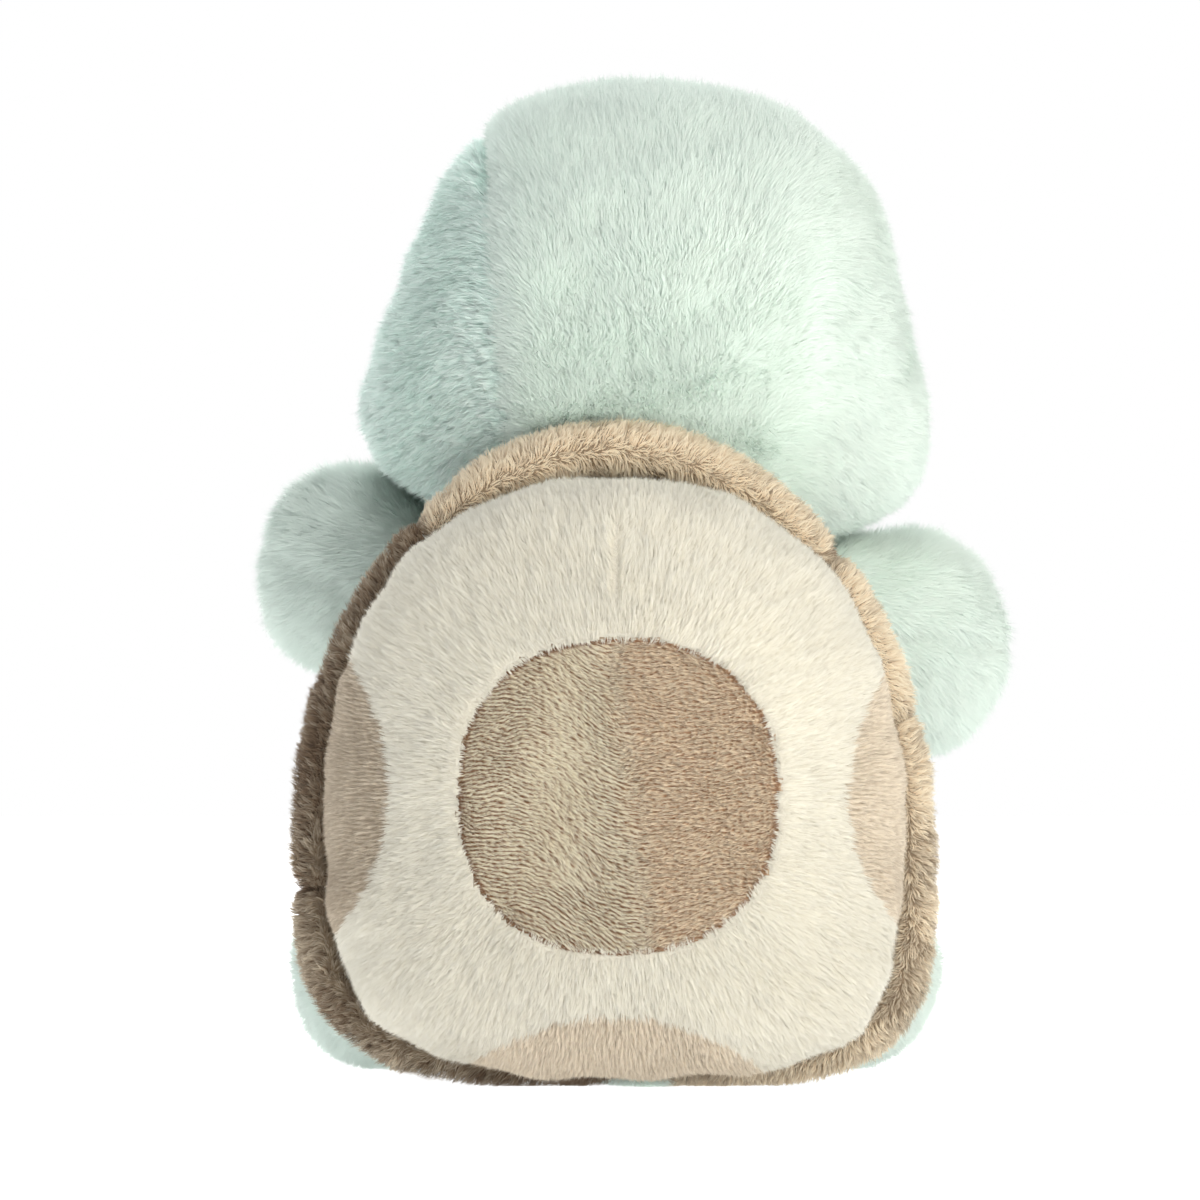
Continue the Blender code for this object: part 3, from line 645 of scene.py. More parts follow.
def creased(item, seam, depth, width, lump, lump_size, seed):
    smooth = item.modifiers.new("fine", "SUBSURF")
    smooth.levels = smooth.render_levels = 1
    bake(item)
    points, normals = points_of(item.data), normals_of(item.data)
    move = lump * waves(points, lump_size, seed)
    if seam:
        move -= depth * np.exp(-((seam(points) / width) ** 2))
    if seam is head_seam:
        move += gusset_step(points)
    item.data.vertices.foreach_set("co", (points + normals * move[:, None]).ravel())
    item.data.update()


for seed, (name, (item, seam, cap)) in enumerate(forms.items()):
    rim = name in RIM_NAMES
    lump = {"head": 0.0004}.get(name, 0.0003 if rim else 0.0006)
    depth = {"head": 0.0006, "dome": 0.0004, "body": 0.0016}.get(name, 0.0010)
    creased(item, seam, depth, 0.0022, lump, 0.012 if rim else 0.022, seed)

# %% [markdown]
# ## Growing the pile
#
# One strand is a narrow blade, drawn once with bmesh. It is stamped on the cloth tens of thousands of
# times, each copy bent over in the direction in which the cloth is brushed. How much it leans, turns and
# curls varies from place to place, so that the strands lie in soft locks, and a little from strand to
# strand.


# %% Draw one strand
def blade(lengths):
    """A strip that ends in a point: its corners as (side, height), and its faces."""
    bm = bmesh.new()
    bmesh.ops.create_grid(bm, x_segments=1, y_segments=lengths, size=0.5)
    tip = [vert for vert in bm.verts if vert.co.y > 0.49]
    bmesh.ops.pointmerge(bm, verts=tip, merge_co=(0, 0.5, 0))
    bm.verts.index_update()
    corners = np.array([(2 * vert.co.x, vert.co.y + 0.5) for vert in bm.verts])
    faces = [[vert.index for vert in reversed(face.verts)] for face in bm.faces]
    bm.free()
    return corners, faces


BLADES = {lengths: blade(lengths) for lengths in (1, 2)}
print("corners and faces of a strand:", {n: (len(c), len(f)) for n, (c, f) in BLADES.items()})


# %% Scatter roots on a cloth
def triangles_of(mesh):
    mesh.calc_loop_triangles()
    flat = np.empty(len(mesh.loop_triangles) * 3, np.int64)
    mesh.loop_triangles.foreach_get("vertices", flat)
    return flat.reshape(-1, 3)


def scatter(mesh, per_square_mm, seed, density=None):
    """Roots spread evenly over a mesh, and the normals there."""
    random = np.random.default_rng(seed)
    points, normals, corners = points_of(mesh), normals_of(mesh), triangles_of(mesh)
    a, b, c = (points[corners[:, k]] for k in range(3))
    areas = np.linalg.norm(np.cross(b - a, c - a), axis=1) / 2
    if density:
        areas = areas * density((a + b + c) / 3)
    ends = np.cumsum(areas)
    count = int(ends[-1] * 1e6 * per_square_mm)
    chosen = np.searchsorted(ends, (np.arange(count) + random.random(count)) / count * ends[-1])
    chosen = np.minimum(chosen, len(corners) - 1)
    u, v = np.sqrt(random.random(count)), random.random(count)
    weights = np.stack([1 - u, u * (1 - v), u * v], axis=1)[:, :, None]
    roots = (points[corners[chosen]] * weights).sum(axis=1)
    up = (normals[corners[chosen]] * weights).sum(axis=1)
    return roots, up / np.linalg.norm(up, axis=1, keepdims=True)


# %% Bend a strand at every root
def unit(vectors):
    return vectors / np.maximum(np.linalg.norm(vectors, axis=1, keepdims=True), 1e-9)


def brushed(roots, up, towards, swirl, size, seed):
    """The direction in which each strand lies: the brush's, laid on the cloth and turned here and there."""
    lay = unit(towards - up * (towards * up).sum(axis=1, keepdims=True))
    turn = swirl * (0.7 * waves(roots, size, seed) + 0.5 * waves(roots, size / 3, seed + 1))[:, None]
    return lay * np.cos(turn) + np.cross(up, lay) * np.sin(turn)


def locks(points, size, seed):
    """Numbers the lock that each strand belongs to: the cells of a wavy grid."""
    sway = np.stack([waves(points, 4 * size, seed + axis) for axis in range(3)], axis=1)
    cells = np.floor(points / size + 0.4 * sway).astype(np.int64) @ np.array([1, 10**4, 10**8])
    return np.unique(cells, return_inverse=True)[1]


def mean_in(lock, values):
    sums = np.stack([np.bincount(lock, values[:, axis]) for axis in range(3)], axis=1)
    return (sums / np.bincount(lock)[:, None])[lock]


def grow(roots, up, towards, pile, seed, trim, slope):
    """The strands' corners, and for each corner its tone and its height."""
    random = np.random.default_rng(seed)
    count, lengths = len(roots), pile["lengths"]
    lay = brushed(roots, up, towards, pile["swirl"], 0.018, seed)
    across = np.cross(up, lay)
    lock = locks(roots, pile["lock"], seed)
    shared = random.normal(0, 1, (4, lock.max() + 1))[:, lock]
    stray = random.normal(0, 1, (4, count))
    length = pile["length"] * trim * (1 + 0.10 * shared[0] + 0.15 * stray[0]).clip(0.5, 1.6)
    start, end = (math.radians(angle) for angle in pile["lean"])
    start = start + 0.10 * shared[1] + 0.6 * pile["stray"] * stray[1]
    end = end + 0.16 * shared[2] + pile["stray"] * stray[2]
    curl = pile["curl"] * (waves(roots, pile["lock"] * 2.5, seed + 3) + 0.5 * shared[1])
    curl = curl + 1.2 * pile["stray"] * stray[3]
    spine = [roots]
    for step in range(lengths):
        share = (step + 0.5) / lengths
        lean = (start + (end - start) * share)[:, None]
        swing = (curl * share)[:, None]
        level = lay * np.cos(swing) + across * np.sin(swing)
        move = (up * np.cos(lean) + level * np.sin(lean)) * (length / lengths)[:, None]
        spine.append(spine[-1] + move)
    for step in range(1, lengths + 1):
        apart = mean_in(lock, spine[step]) - spine[step]
        spine[step] = spine[step] + apart * pile["gather"] * (step / lengths) ** 2
    roll = random.normal(0, pile["roll"], count)[:, None]
    side = across * np.cos(roll) + up * np.sin(roll)
    blade_corners = BLADES[lengths][0]
    rank = np.rint(blade_corners[:, 1] * lengths).astype(int)
    taper = (1 - rank / lengths) ** 0.5 * blade_corners[:, 0] * pile["width"] / 2
    swell = random.uniform(0.75, 1.25, count)[:, None]
    corners = np.stack(spine, axis=1)[:, rank] + side[:, None, :] * (taper * swell)[:, :, None]
    corners[:, :, 2] = np.maximum(corners[:, :, 2], 0.0002)
    tone = pile["tone"] + pile["patchy"] * (waves(roots, 0.03, seed + 5) + shared[3])
    # Painted shade: a strand shorter than those around it is given a darker tone, as if it lay in the shade
    # of a groove or a seam.
    tone = tone + pile["groove_shade"] * (trim - trim.mean()) + random.normal(0, 0.08, count)
    tone = tone.clip(0.03, 0.97)[:, None] + 0.004 * blade_corners[:, 0]
    height = np.broadcast_to(0.02 + 0.96 * blade_corners[:, 1], tone.shape)
    facing = unit(up + 0.12 * random.normal(0, 1, up.shape) - pile["relief"] * slope)
    facing = np.repeat(facing, len(blade_corners), axis=0)
    return corners.reshape(-1, 3), np.stack([tone, height], axis=2).reshape(-1, 2), facing


# %% Join a cloth and its pile in one piece
def face_arrays(bm):
    bm.verts.index_update()
    corners = [[vert.index for vert in face.verts] for face in bm.faces]
    return np.array([vert.co[:] for vert in bm.verts]), corners


def furry(name, cloth, strands, lengths, material, body, nodes, slot, fill):
    """One piece: a cloth with a thickness, and the strands that stand on it."""
    cloth_points, cloth_faces = face_arrays(cloth)
    strand_points, strand_maps, strand_facing = strands
    blade_corners, blade_faces = BLADES[lengths]
    count = len(strand_points) // len(blade_corners)
    offsets = len(cloth_points) + len(blade_corners) * np.arange(count)[:, None]
    loops = [np.concatenate([np.array(face) for face in cloth_faces])]
    sizes = [np.array([len(face) for face in cloth_faces])]
    order = np.concatenate([np.array(face) for face in blade_faces])
    loops.append((offsets + order[None, :]).ravel())
    sizes.append(np.tile([len(face) for face in blade_faces], count))
    loops, sizes = np.concatenate(loops), np.concatenate(sizes)
    mesh = bpy.data.meshes.new(name)
    points = np.concatenate([cloth_points, strand_points])
    mesh.vertices.add(len(points))
    mesh.vertices.foreach_set("co", points.ravel())
    mesh.loops.add(len(loops))
    mesh.loops.foreach_set("vertex_index", loops.astype(np.int32))
    mesh.polygons.add(len(sizes))
    mesh.polygons.foreach_set("loop_start", np.concatenate([[0], np.cumsum(sizes)[:-1]]).astype(np.int32))
    mesh.polygons.foreach_set("use_smooth", np.ones(len(sizes), bool))
    mesh.update(calc_edges=True)
    # The cloth under the pile takes the strands' colour at a height along them: about halfway for most, and
    # at the root for the rim, whose dark root colour is painted shade deep in the curls.
    low = {TAN: 0.45, RIM: 0.04}.get(material, 0.5)
    spots = np.array([(0.40, low), (0.44, low), (0.44, low + 0.04), (0.40, low + 0.04)])
    cloth_loops = int(sum(len(face) for face in cloth_faces))
    starts = np.concatenate([np.arange(len(face)) for face in cloth_faces])
    maps = np.concatenate([spots[starts % 4], strand_maps[loops[cloth_loops:] - len(cloth_points)]])
    for layer in ("pile", "OFBake"):
        mesh.uv_layers.new(name=layer).data.foreach_set("uv", maps.astype(np.float32).ravel())
    facing = normals_of(mesh)
    facing[len(cloth_points):] = strand_facing
    mesh.normals_split_custom_set_from_vertices(facing.tolist())
    mesh.materials.append(material)
    item = placed(name, mesh)
    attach(item, body)
    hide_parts(*nodes)
    print(name, count, "strands")


def panel(item, keep, thickness=0.0009):
    """The faces of a form that belong to one panel, as cloth with a thickness."""
    bm = bmesh.new()
    bm.from_mesh(item.data)
    centres = np.array([face.calc_center_median()[:] for face in bm.faces])
    wanted = keep(centres)
    bmesh.ops.delete(bm, geom=[face for face, want in zip(bm.faces, wanted) if not want], context="FACES")
    edge = [e for e in bm.edges if e.is_boundary]
    if edge:
        bmesh.ops.solidify(bm, geom=bm.faces[:], thickness=thickness)
    bmesh.ops.triangulate(bm, faces=bm.faces)
    return bm


# %% [markdown]
# ## The kinds of pile
#
# The fur is about four millimetres long and leans over at 40 degrees. The pile of the shell is under
# three millimetres and denser, and the rim's is curlier than both. Gather draws the tips of a lock
# together, stray and roll turn single strands, and relief says how much the unevenness of the pile shows
# in its shading. Groove shade is painted shade: a strand shorter than its neighbours is given a darker
# tone, as if it lay in a groove or a seam.

# %% The kinds of pile
FUR = {"per_square_mm": 8.3, "lengths": 1, "length": 0.0043, "width": 0.00035, "lean": (40, 40)}
FUR |= {"curl": 0.4, "swirl": 0.32, "lock": 0.0015, "gather": 0.12, "stray": 0.4, "roll": 0.5}
FUR |= {"patchy": 0.03, "tone": 0.5, "groove_shade": 1.0, "relief": 0.3}
DENSE = {"per_square_mm": 9.3, "lengths": 1, "length": 0.0027, "width": 0.0003, "lean": (45, 45)}
DENSE |= {"curl": 0.25, "swirl": 0.2, "lock": 0.0010, "gather": 0.2, "stray": 0.2, "roll": 0.12}
DENSE |= {"patchy": 0.05, "tone": 0.5, "groove_shade": 1.0, "relief": 0.7}
RIBBED = dict(DENSE, per_square_mm=11.5, length=0.0024, width=0.00028, swirl=0.1, lock=0.0009)
RIBBED |= {"gather": 0.1, "patchy": 0.06, "tone": 0.88, "groove_shade": 8.5, "relief": 1.0}
CURLY = {"per_square_mm": 4.8, "lengths": 2, "length": 0.0033, "width": 0.00031, "lean": (10, 65)}
CURLY |= {"curl": 1.0, "swirl": 0.8, "lock": 0.0011, "gather": 0.5, "stray": 0.3, "roll": 0.3}
CURLY |= {"patchy": 0.14, "groove_shade": 1.0, "relief": 0.4}


def grain(points, up):
    """Pile is never quite even in length."""
    return 1 + 0.03 * waves(points, 0.0016, 77)


def slope_of(points, up, trim, pile, step=0.0001):
    """How steeply the top of the pile rises along each axis, and never more than 50 degrees."""
    rises = [trim(points + move, up) - trim(points - move, up) for move in step * np.eye(3)]
    height = pile["length"] * math.cos(math.radians(pile["lean"][-1]))
    slope = height * np.stack(rises, axis=1) / (2 * step)
    return slope * np.minimum(1, 1.2 / np.maximum(np.linalg.norm(slope, axis=1, keepdims=True), 1e-9))


SLOTS = {MINT: "mint_fur", ROUGH: "mint_fur", CREAM: "cream_pile"}
FILLS = {"head": 0.85, "tail": 0.4, "dome": 0.9, "base": 0.2} | dict.fromkeys(RIM_NAMES, 0.7)


def body_of(form):
    """The body that a form rides on: the head, its own limb or the torso."""
    if form in ("head", "muzzle"):
        return "head"
    return form if form.endswith(("_arm", "_leg")) else "torso"


def every(points):
    return np.ones(len(points), bool)


def cover(form, pieces, brush, pile, material, seed, density=None, trim=grain):
    """Covers one form: each of its panels becomes a piece of its own."""
    item, body = forms[form][0], body_of(form)
    slot, fill = SLOTS.get(material, "tan_pile"), FILLS.get(form, 0.8)
    roots, up = scatter(item.data, pile["per_square_mm"], seed, density)
    towards, shorter, slope = brush(roots, up), trim(roots, up), slope_of(roots, up, trim, pile)
    for name, (keep, nodes) in pieces.items():
        mine = keep(roots)
        strands = grow(roots[mine], up[mine], towards[mine], pile, seed, shorter[mine], slope[mine])
        furry(name, panel(item, keep), strands, pile["lengths"], material, body, nodes, slot, fill)


# %% [markdown]
# ## Head
#
# The head is a wide centre panel, which runs from the brow over the top to the nape, between two side
# panels. The centre panel's pile is brushed back and down, and the side panels' outwards, so the seam
# between them shows as a parting.


# %% Head
def head_brush(points, up):
    x = head_x(points)
    middle = np.cross([1, 0, 0], up) + [0, 0, 0.15]
    side = np.stack([0.9 * np.sign(x), np.full(len(x), -0.2), np.full(len(x), -0.5)], axis=1)
    share = np.clip(past_gusset(points) / 0.028 + 0.5, 0, 1)[:, None]
    return unit(middle) * (1 - share) + unit(side) * share


def gusset(sign):
    def keep(points):
        beyond = past_gusset(points) + 0.0008 * waves(points, 0.005, 7)
        x = head_x(points)
        return beyond < 0 if sign == 0 else (beyond >= 0) & (x * sign > 0)

    return keep


def out_of_body(points, depth=0.9):
    """1, or 0 for what lies well inside the body or its neck."""
    middle, reach = np.array([0, -0.0055, 0.065]), np.array([0.056, 0.0425, 0.065])
    inside = ((abs(points - middle) / reach) ** 2.4).sum(axis=1) < depth**2.4
    neck = np.linalg.norm(points - np.array(NECK), axis=1) < 0.024
    return (~inside & ~neck).astype(float)


def head_density(points):
    """Fuller at the nape, where the pile points straight out, and thinner on the face, where it lies flat."""
    nape = 0.9 * np.exp(-(((points[:, 2] - 0.165) / 0.022) ** 2)) * (points[:, 1] > 0)
    face = 0.3 * np.clip((-0.012 - points[:, 1]) / 0.01, 0, 1)
    return (1 + nape - face) * out_of_body(points)


def out_of_head(points):
    apart = (head_axes(points) - np.array(HEAD_MIDDLE)) / [0.0725, 0.052, 0.060]
    return ((apart**2).sum(axis=1) > 0.85).astype(float)


def head_trim(points, up):
    """Shorter where the left seam is pulled in."""
    return grain(points, up) - 0.4 * np.exp(-((past_gusset(points) / 0.0014) ** 2)) * left_crown(points)


def rough_trim(points, up):
    back = np.clip((points[:, 1] + 0.03) / 0.03, 0, 1)
    return head_trim(points, up) + 0.09 * back * waves(points, 0.0015, 79)


RIGHT_FUR = dict(FUR, gather=0.3, lean=(44, 44))
LEFT_FUR = dict(RIGHT_FUR, gather=0.5, lock=0.0010, stray=0.5, curl=0.8, patchy=0.08, groove_shade=1.5, relief=0.8)
for name, sign, pile, material, trim in (
    ("head_centre", 0, FUR, MINT, head_trim),
    ("head_left", 1, LEFT_FUR, ROUGH, rough_trim),
    ("head_right", -1, RIGHT_FUR, MINT, head_trim),
):
    pieces = {name + "_fur": (gusset(sign), [name + "_panel"])}
    cover("head", pieces, head_brush, pile, material, 11, head_density, trim)

# %% [markdown]
# ## Muzzle
#
# A small stuffed pad sewn on the face. Its pile is short and brushed away from the nose.


# %% Muzzle
def muzzle_brush(points, up):
    nose = np.array(HEAD_PLACE @ Vector((HEAD_MIDDLE.x, -0.074, 0.028)))
    return points - nose


SHORT = dict(FUR, length=0.0036, lean=(45, 45))
cover("muzzle", {"muzzle_fur": (every, ["muzzle_panel"])}, muzzle_brush, SHORT, MINT, 12, out_of_head)

# %% [markdown]
# ## Body, arms, legs and tail
#
# The body is a belly panel and a back panel over a round seat, and its pile is brushed down. On the limbs
# the pile is brushed towards the paw.


# %% Body
def down(points, up):
    return np.broadcast_to([0.0, -0.1, -1.0], points.shape)


def in_sight(points):
    """Pile grows only where the body isn't inside the head or against the shell."""
    apart = (head_axes(points) - np.array(HEAD_MIDDLE)) / [0.085, 0.052, 0.055]
    return ((apart**2).sum(axis=1) > 0.9) & (points[:, 1] < 0.032)


def backwards(points, up):
    return np.broadcast_to([0.0, 1.0, -0.2], points.shape)


pieces = {
    "belly_fur": (lambda p: (p[:, 2] > SEAT_Z) & (p[:, 1] < SIDE_Y), ["belly_panel"]),
    "back_fur": (lambda p: (p[:, 2] > SEAT_Z) & (p[:, 1] >= SIDE_Y), ["body_back_panel"]),
    "seat_fur": (lambda p: p[:, 2] <= SEAT_Z, ["seat_panel"]),
}
cover("body", pieces, down, dict(FUR, per_square_mm=5, width=0.00044), MINT, 13, in_sight)
cover("tail", {"tail_fur": (every, ["tail"])}, backwards, dict(FUR, length=0.004), MINT, 14)


# %% Arms and legs
def limb_brush(place):
    """Towards the paw and down, and straight down on the round end of the limb."""
    way = np.array(place.to_3x3() @ Vector((0, -1, 0)))

    def brush(points, up):
        end = np.clip(((up * way).sum(axis=1, keepdims=True) - 0.3) / 0.4, 0, 1)
        return way * (1 - end) - [0, 0, 0.8]

    return brush


LIMB_FUR = dict(FUR, per_square_mm=7, width=0.00038)
for side, sign in SIDES.items():
    upper = lambda p, place=arm_place(side): axes_of(p, place)[:, 2] >= 0
    under = lambda p, place=arm_place(side): axes_of(p, place)[:, 2] < 0
    leg = lambda p, place=leg_place(side): axes_of(p, place)[:, 1] >= SOLE_Y
    sole = lambda p, place=leg_place(side): axes_of(p, place)[:, 1] < SOLE_Y
    pieces = {
        side + "_arm_upper_fur": (upper, [side + "_arm_upper_panel"]),
        side + "_arm_under_fur": (under, [side + "_arm_under_panel"]),
    }
    cover(side + "_arm", pieces, limb_brush(arm_place(side)), LIMB_FUR, MINT, 20 + sign, out_of_body)
    pieces = {
        side + "_leg_fur": (leg, [side + "_leg_cover"]),
        side + "_sole_fur": (sole, [side + "_sole_panel"]),
    }
    cover(side + "_leg", pieces, limb_brush(leg_place(side)), LIMB_FUR, MINT, 30 + sign, out_of_body)

# %% [markdown]
# ## Shell
#
# The dome is cream with four tan patches let in. Its pile is short, dense and brushed outwards from the
# middle.


# %% Dome
def dome_brush(points, up):
    """Outwards from the middle, but over the edge of the patch next to it, and to both sides of the dart."""
    away = points - np.array([SHELL_X, 0.05, 0.076])
    away[:, 1] = 0
    away = unit(away)
    edge = superellipse(points, *PATCHES["centre_patch"]) - 1
    turned_back = np.where((edge > 0) & (edge < 0.022 + 0.02 * waves(points, 0.004, 8)), -1.0, 1.0)
    x = points[:, 0] - SHELL_X - DART_X
    dart = dart_end(points) * np.exp(-((x / 0.004) ** 2)) * np.sign(x)
    return away * turned_back[:, None] + dart[:, None] * [0.7, 0, 0]


def dart_end(points):
    """1 along the dart, and 0 below it and near the edge of the dome."""
    return np.clip((0.146 - points[:, 2]) / 0.008, 0, 1) * np.clip((points[:, 2] - 0.120) / 0.006, 0, 1)


def dome_trim(points, up):
    """Short strokes that point outwards from the middle, and shorter pile in the dart."""
    x, z = points[:, 0] - SHELL_X, points[:, 2] - 0.076
    around, outwards = 0.06 * np.arctan2(x, z), 0.3 * np.hypot(x, z)
    strokes = waves(np.stack([around, points[:, 1] * 0.3, outwards], axis=1), 0.0013, 80, 12)
    return 1 + 0.09 * strokes - 0.5 * dart_end(points) * np.exp(-(((x - DART_X) / 0.0009) ** 2))


def uneven(points):
    return 1 + 0.006 * waves(points, 0.005, 3) + 0.003 * waves(points, 0.0018, 4)


def patch_keep(name):
    return lambda points: superellipse(points, *PATCHES[name]) < uneven(points)


def cover_keep(points):
    edges = [superellipse(points, *outline) for outline in PATCHES.values()]
    return np.min(edges, axis=0) >= uneven(points)


def past_turn(points):
    """How far points lie to the left of the wavy line on the centre patch where the pile turns round."""
    line = -0.0040 + TURN_LEAN * (points[:, 2] - 0.074)
    straight = points[:, 0] - SHELL_X - line
    return straight + 0.0014 * waves(points, 0.014, 75) + 0.0008 * waves(points, 0.003, 76)


def patch_brush(points, up):
    """Combed to the right and down over its left part, and hardly to either side on the right."""
    x = points[:, 0] - SHELL_X
    slope = np.exp(-(((x - 0.010) / 0.011) ** 2))
    across = np.where(past_turn(points) > 0, -1.0, 0.8)
    return np.stack([across, np.zeros(len(x)), -0.75 * slope - 0.1], axis=1)


def ribs(points, up):
    """The knitted ribs: level on the left and at the bottom, sloping beside it, small bumps on the right."""
    x, z = points[:, 0] - SHELL_X, points[:, 2]
    bend = -0.0070 * np.tanh((x - 0.010) / 0.010)
    bend = bend + 0.0006 * waves(points, 0.011, 71) + 0.0002 * waves(points, 0.004, 73)
    level = np.cos((z + bend) / 0.00105 * math.tau)
    bumps = np.cos((x + 0.0004 * waves(points, 0.006, 74)) / 0.0010 * math.tau)
    right = 1 / (1 + np.exp(past_turn(points) / 0.0008))
    sloping = np.exp(-(((x - 0.013) / 0.009) ** 2)) * (z > 0.052)
    strength = (1 - 0.65 * sloping) * (1 - 0.25 * right)
    edge = (1 - superellipse(points, *PATCHES["centre_patch"])) / 0.02
    length = 0.86 + 0.13 * strength * level + right * (0.012 + 0.07 * bumps)
    length = length + 0.05 * waves(points, 0.0014, 72)
    # The pile is shorter next to the patch's edge, and its tone follows, which is painted shade along the
    # seam.
    return length * (1 - 0.3 * np.exp(-(edge**2)))


def scallop_ribs(points, up):
    """The ribs of the scallops run inwards from the edge of the shell, and are plainest next to the cream."""
    x, z = points[:, 0] - SHELL_X, points[:, 2]
    route = np.where(z < 0.022, x, z) + 0.0005 * waves(points, 0.010, 78)
    strength = np.clip(1 - (abs(x) - 0.060) / 0.014, 0.3, 1)
    return 0.92 + 0.09 * strength * np.cos(route / 0.00105 * math.tau) + 0.05 * waves(points, 0.0014, 72)


def behind_base(points):
    return (points[:, 1] > 0.042).astype(float)


pieces = {"dome_pile": (cover_keep, ["shell_cover"])}
cover("dome", pieces, dome_brush, DENSE, CREAM, 41, behind_base, dome_trim)
# Painted light and shade: the left scallop, away from the key lamp, is given a dark tone, and the right one
# and the bottom one, which catch the light, pale tones.
for name, tone in (("left_patch", 0.28), ("right_patch", 0.74), ("bottom_patch", 0.96)):
    pieces = {name + "_pile": (patch_keep(name), [name])}
    pile = dict(RIBBED, tone=tone, groove_shade=4.0)
    cover("dome", pieces, dome_brush, pile, PALE, 42, behind_base, scallop_ribs)
pieces = {"centre_patch_pile": (patch_keep("centre_patch"), ["centre_patch"])}
cover("dome", pieces, patch_brush, RIBBED, TAN, 43, behind_base, ribs)

# %% [markdown]
# ## Rim
#
# The rim's pile is longer and curlier. It is brushed away from the middle of the roll on both sides.


# %% Rim
RIM_PINCHES = (0.55, 0.6, 0.3, 0.3, 0.15)
# Painted light and shade: each roll has its own tone, dark for the rolls on the left, away from the key lamp,
# and light for the collar and the right, which the lamps reach.
RIM_LIGHT_AND_SHADE_TONES = (0.97, 0.12, 0.17, 0.76, 0.80)


def rim_brush(points, up):
    away = points - np.array([SHELL_X, RIM_Y, 0.070])
    away[:, 1] = 0
    away = unit(away)
    along = np.cross(away, [0, 1, 0])
    outer = (up * away).sum(axis=1, keepdims=True)
    return away * (outer + 0.15) - [0, 0.2, 0] + 0.5 * along


def pinched(points, up):
    """The pile is shorter where one roll is sewn to the next."""
    angle = np.degrees(np.arctan2(points[:, 0] - SHELL_X, points[:, 2] - 0.060))
    length = 1 + 0.05 * waves(points, 0.0016, 77)
    for seam, depth in zip(RIM_SEAMS, RIM_PINCHES):
        apart = abs((angle - seam + 180) % 360 - 180)
        length -= depth * np.exp(-((apart / 1.5) ** 2))
    return length


for seed, (name, tone) in enumerate(zip(RIM_NAMES, RIM_LIGHT_AND_SHADE_TONES)):
    pieces, pile = {name + "_pile": (every, [name])}, dict(CURLY, tone=tone)
    cover(name, pieces, rim_brush, pile, RIM, 50 + seed, trim=pinched)

# %% [markdown]
# ## Base of the shell
#
# A flat panel of the same tan cloth closes the shell in front, and the body is sewn to it. Only its outer
# part shows, beside the body. It is a disc with soft edges, cut to the shell's outline.


# %% Base of the shell
def base_form():
    bm = round_form(72, 40)
    for vert in bm.verts:
        across = math.hypot(vert.co.x, vert.co.y)
        edge = outline_point(math.atan2(vert.co.x, vert.co.y), 0.0125)
        middle = Vector((SHELL_X, 0, 0.062))
        deep = math.copysign(min(1, abs(vert.co.z) * 2.5), vert.co.z) * 0.0012
        vert.co = middle + (Vector((edge.x, 0, edge.z)) - middle) * across + Vector((0, 0.0352 + deep, 0))
    bmesh.ops.recalc_face_normals(bm, faces=bm.faces)
    return bm


def beside_body(points):
    apart = (abs(points[:, 0]) / 0.049) ** 2.6 + (abs(points[:, 2] - 0.05) / 0.077) ** 2.6
    return (points[:, 1] < 0.0350) & (apart > 1)


forms["base"] = (object_of("base", base_form()), None, 0)
pile = dict(DENSE, per_square_mm=5, width=0.0004, tone=0.6)
cover("base", {"base_pile": (every, ["shell_base"])}, down, pile, PALE, 61, beside_body)

for item, _, _ in forms.values():
    bpy.data.objects.remove(item)

# %% [markdown]
# ## Finishes without pile
#
# The stuffing is white polyester fibre in soft clumps, the pellet bag is a plain weave, the eyes are
# polished plastic, and the face is sewn with brown thread.


# %% Finishes without pile
def fibre_finish():
    finish = Finish("fibre_stuffing", Roughness=0.95, Specular_IOR_Level=0.2, Sheen_Weight=0.3)
    clumps, fibres = finish.noise(0.006, 4), finish.noise(0.0007, 2)
    finish.link("Base Color", finish.blend(clumps, linear(222, 222, 216), linear(250, 250, 247)))
    finish.bump(0.7 * clumps + 0.3 * fibres, 0.0012)
    return finish.material


def cotton_finish():
    finish = Finish("pellet_cotton", Roughness=0.9, Specular_IOR_Level=0.25)
    across, _, up = finish.parts(finish.place())
    warp, weft = across.wave(0.0009), up.wave(0.0009)
    weave = warp * weft + (1 - warp) * (1 - weft)
    finish.link("Base Color", finish.blend(weave, linear(178, 174, 162), linear(224, 221, 210)))
    finish.bump(weave, 0.0002)
    return finish.material


def eye_finish():
    finish = Finish("eye_plastic", Coat_Weight=1.0, Coat_Roughness=0.03, Specular_IOR_Level=0.5)
    cloud = finish.noise(0.004, 3)
    finish.link("Base Color", finish.blend(cloud, linear(24, 17, 14), linear(44, 31, 25)))
    finish.link("Roughness", 0.12 + 0.08 * finish.noise(0.0012, 2))
    finish.bump(finish.noise(0.002, 1), 0.00002)
    return finish.material


def washer_finish():
    finish = Finish("washer_plastic", Specular_IOR_Level=0.4)
    cloud = finish.noise(0.003, 3)
    finish.link("Base Color", finish.blend(cloud, linear(214, 214, 208), linear(238, 238, 233)))
    finish.link("Roughness", 0.4 + 0.15 * cloud)
    finish.bump(finish.noise(0.0006, 2), 0.00004)
    return finish.material


def thread_finish():
    finish = Finish("brown_thread", Roughness=0.7, Specular_IOR_Level=0.3, Sheen_Weight=0.3)
    fuzz = finish.noise(0.0003, 3)
    finish.link("Base Color", finish.blend(fuzz, linear(84, 58, 46), linear(128, 94, 76)))
    finish.bump(fuzz, 0.0001)
    return finish.material


FIBRE, COTTON, EYE = fibre_finish(), cotton_finish(), eye_finish()
WASHER, THREAD = washer_finish(), thread_finish()
print("finishes:", [material.name for material in (FIBRE, COTTON, EYE, WASHER, THREAD)])

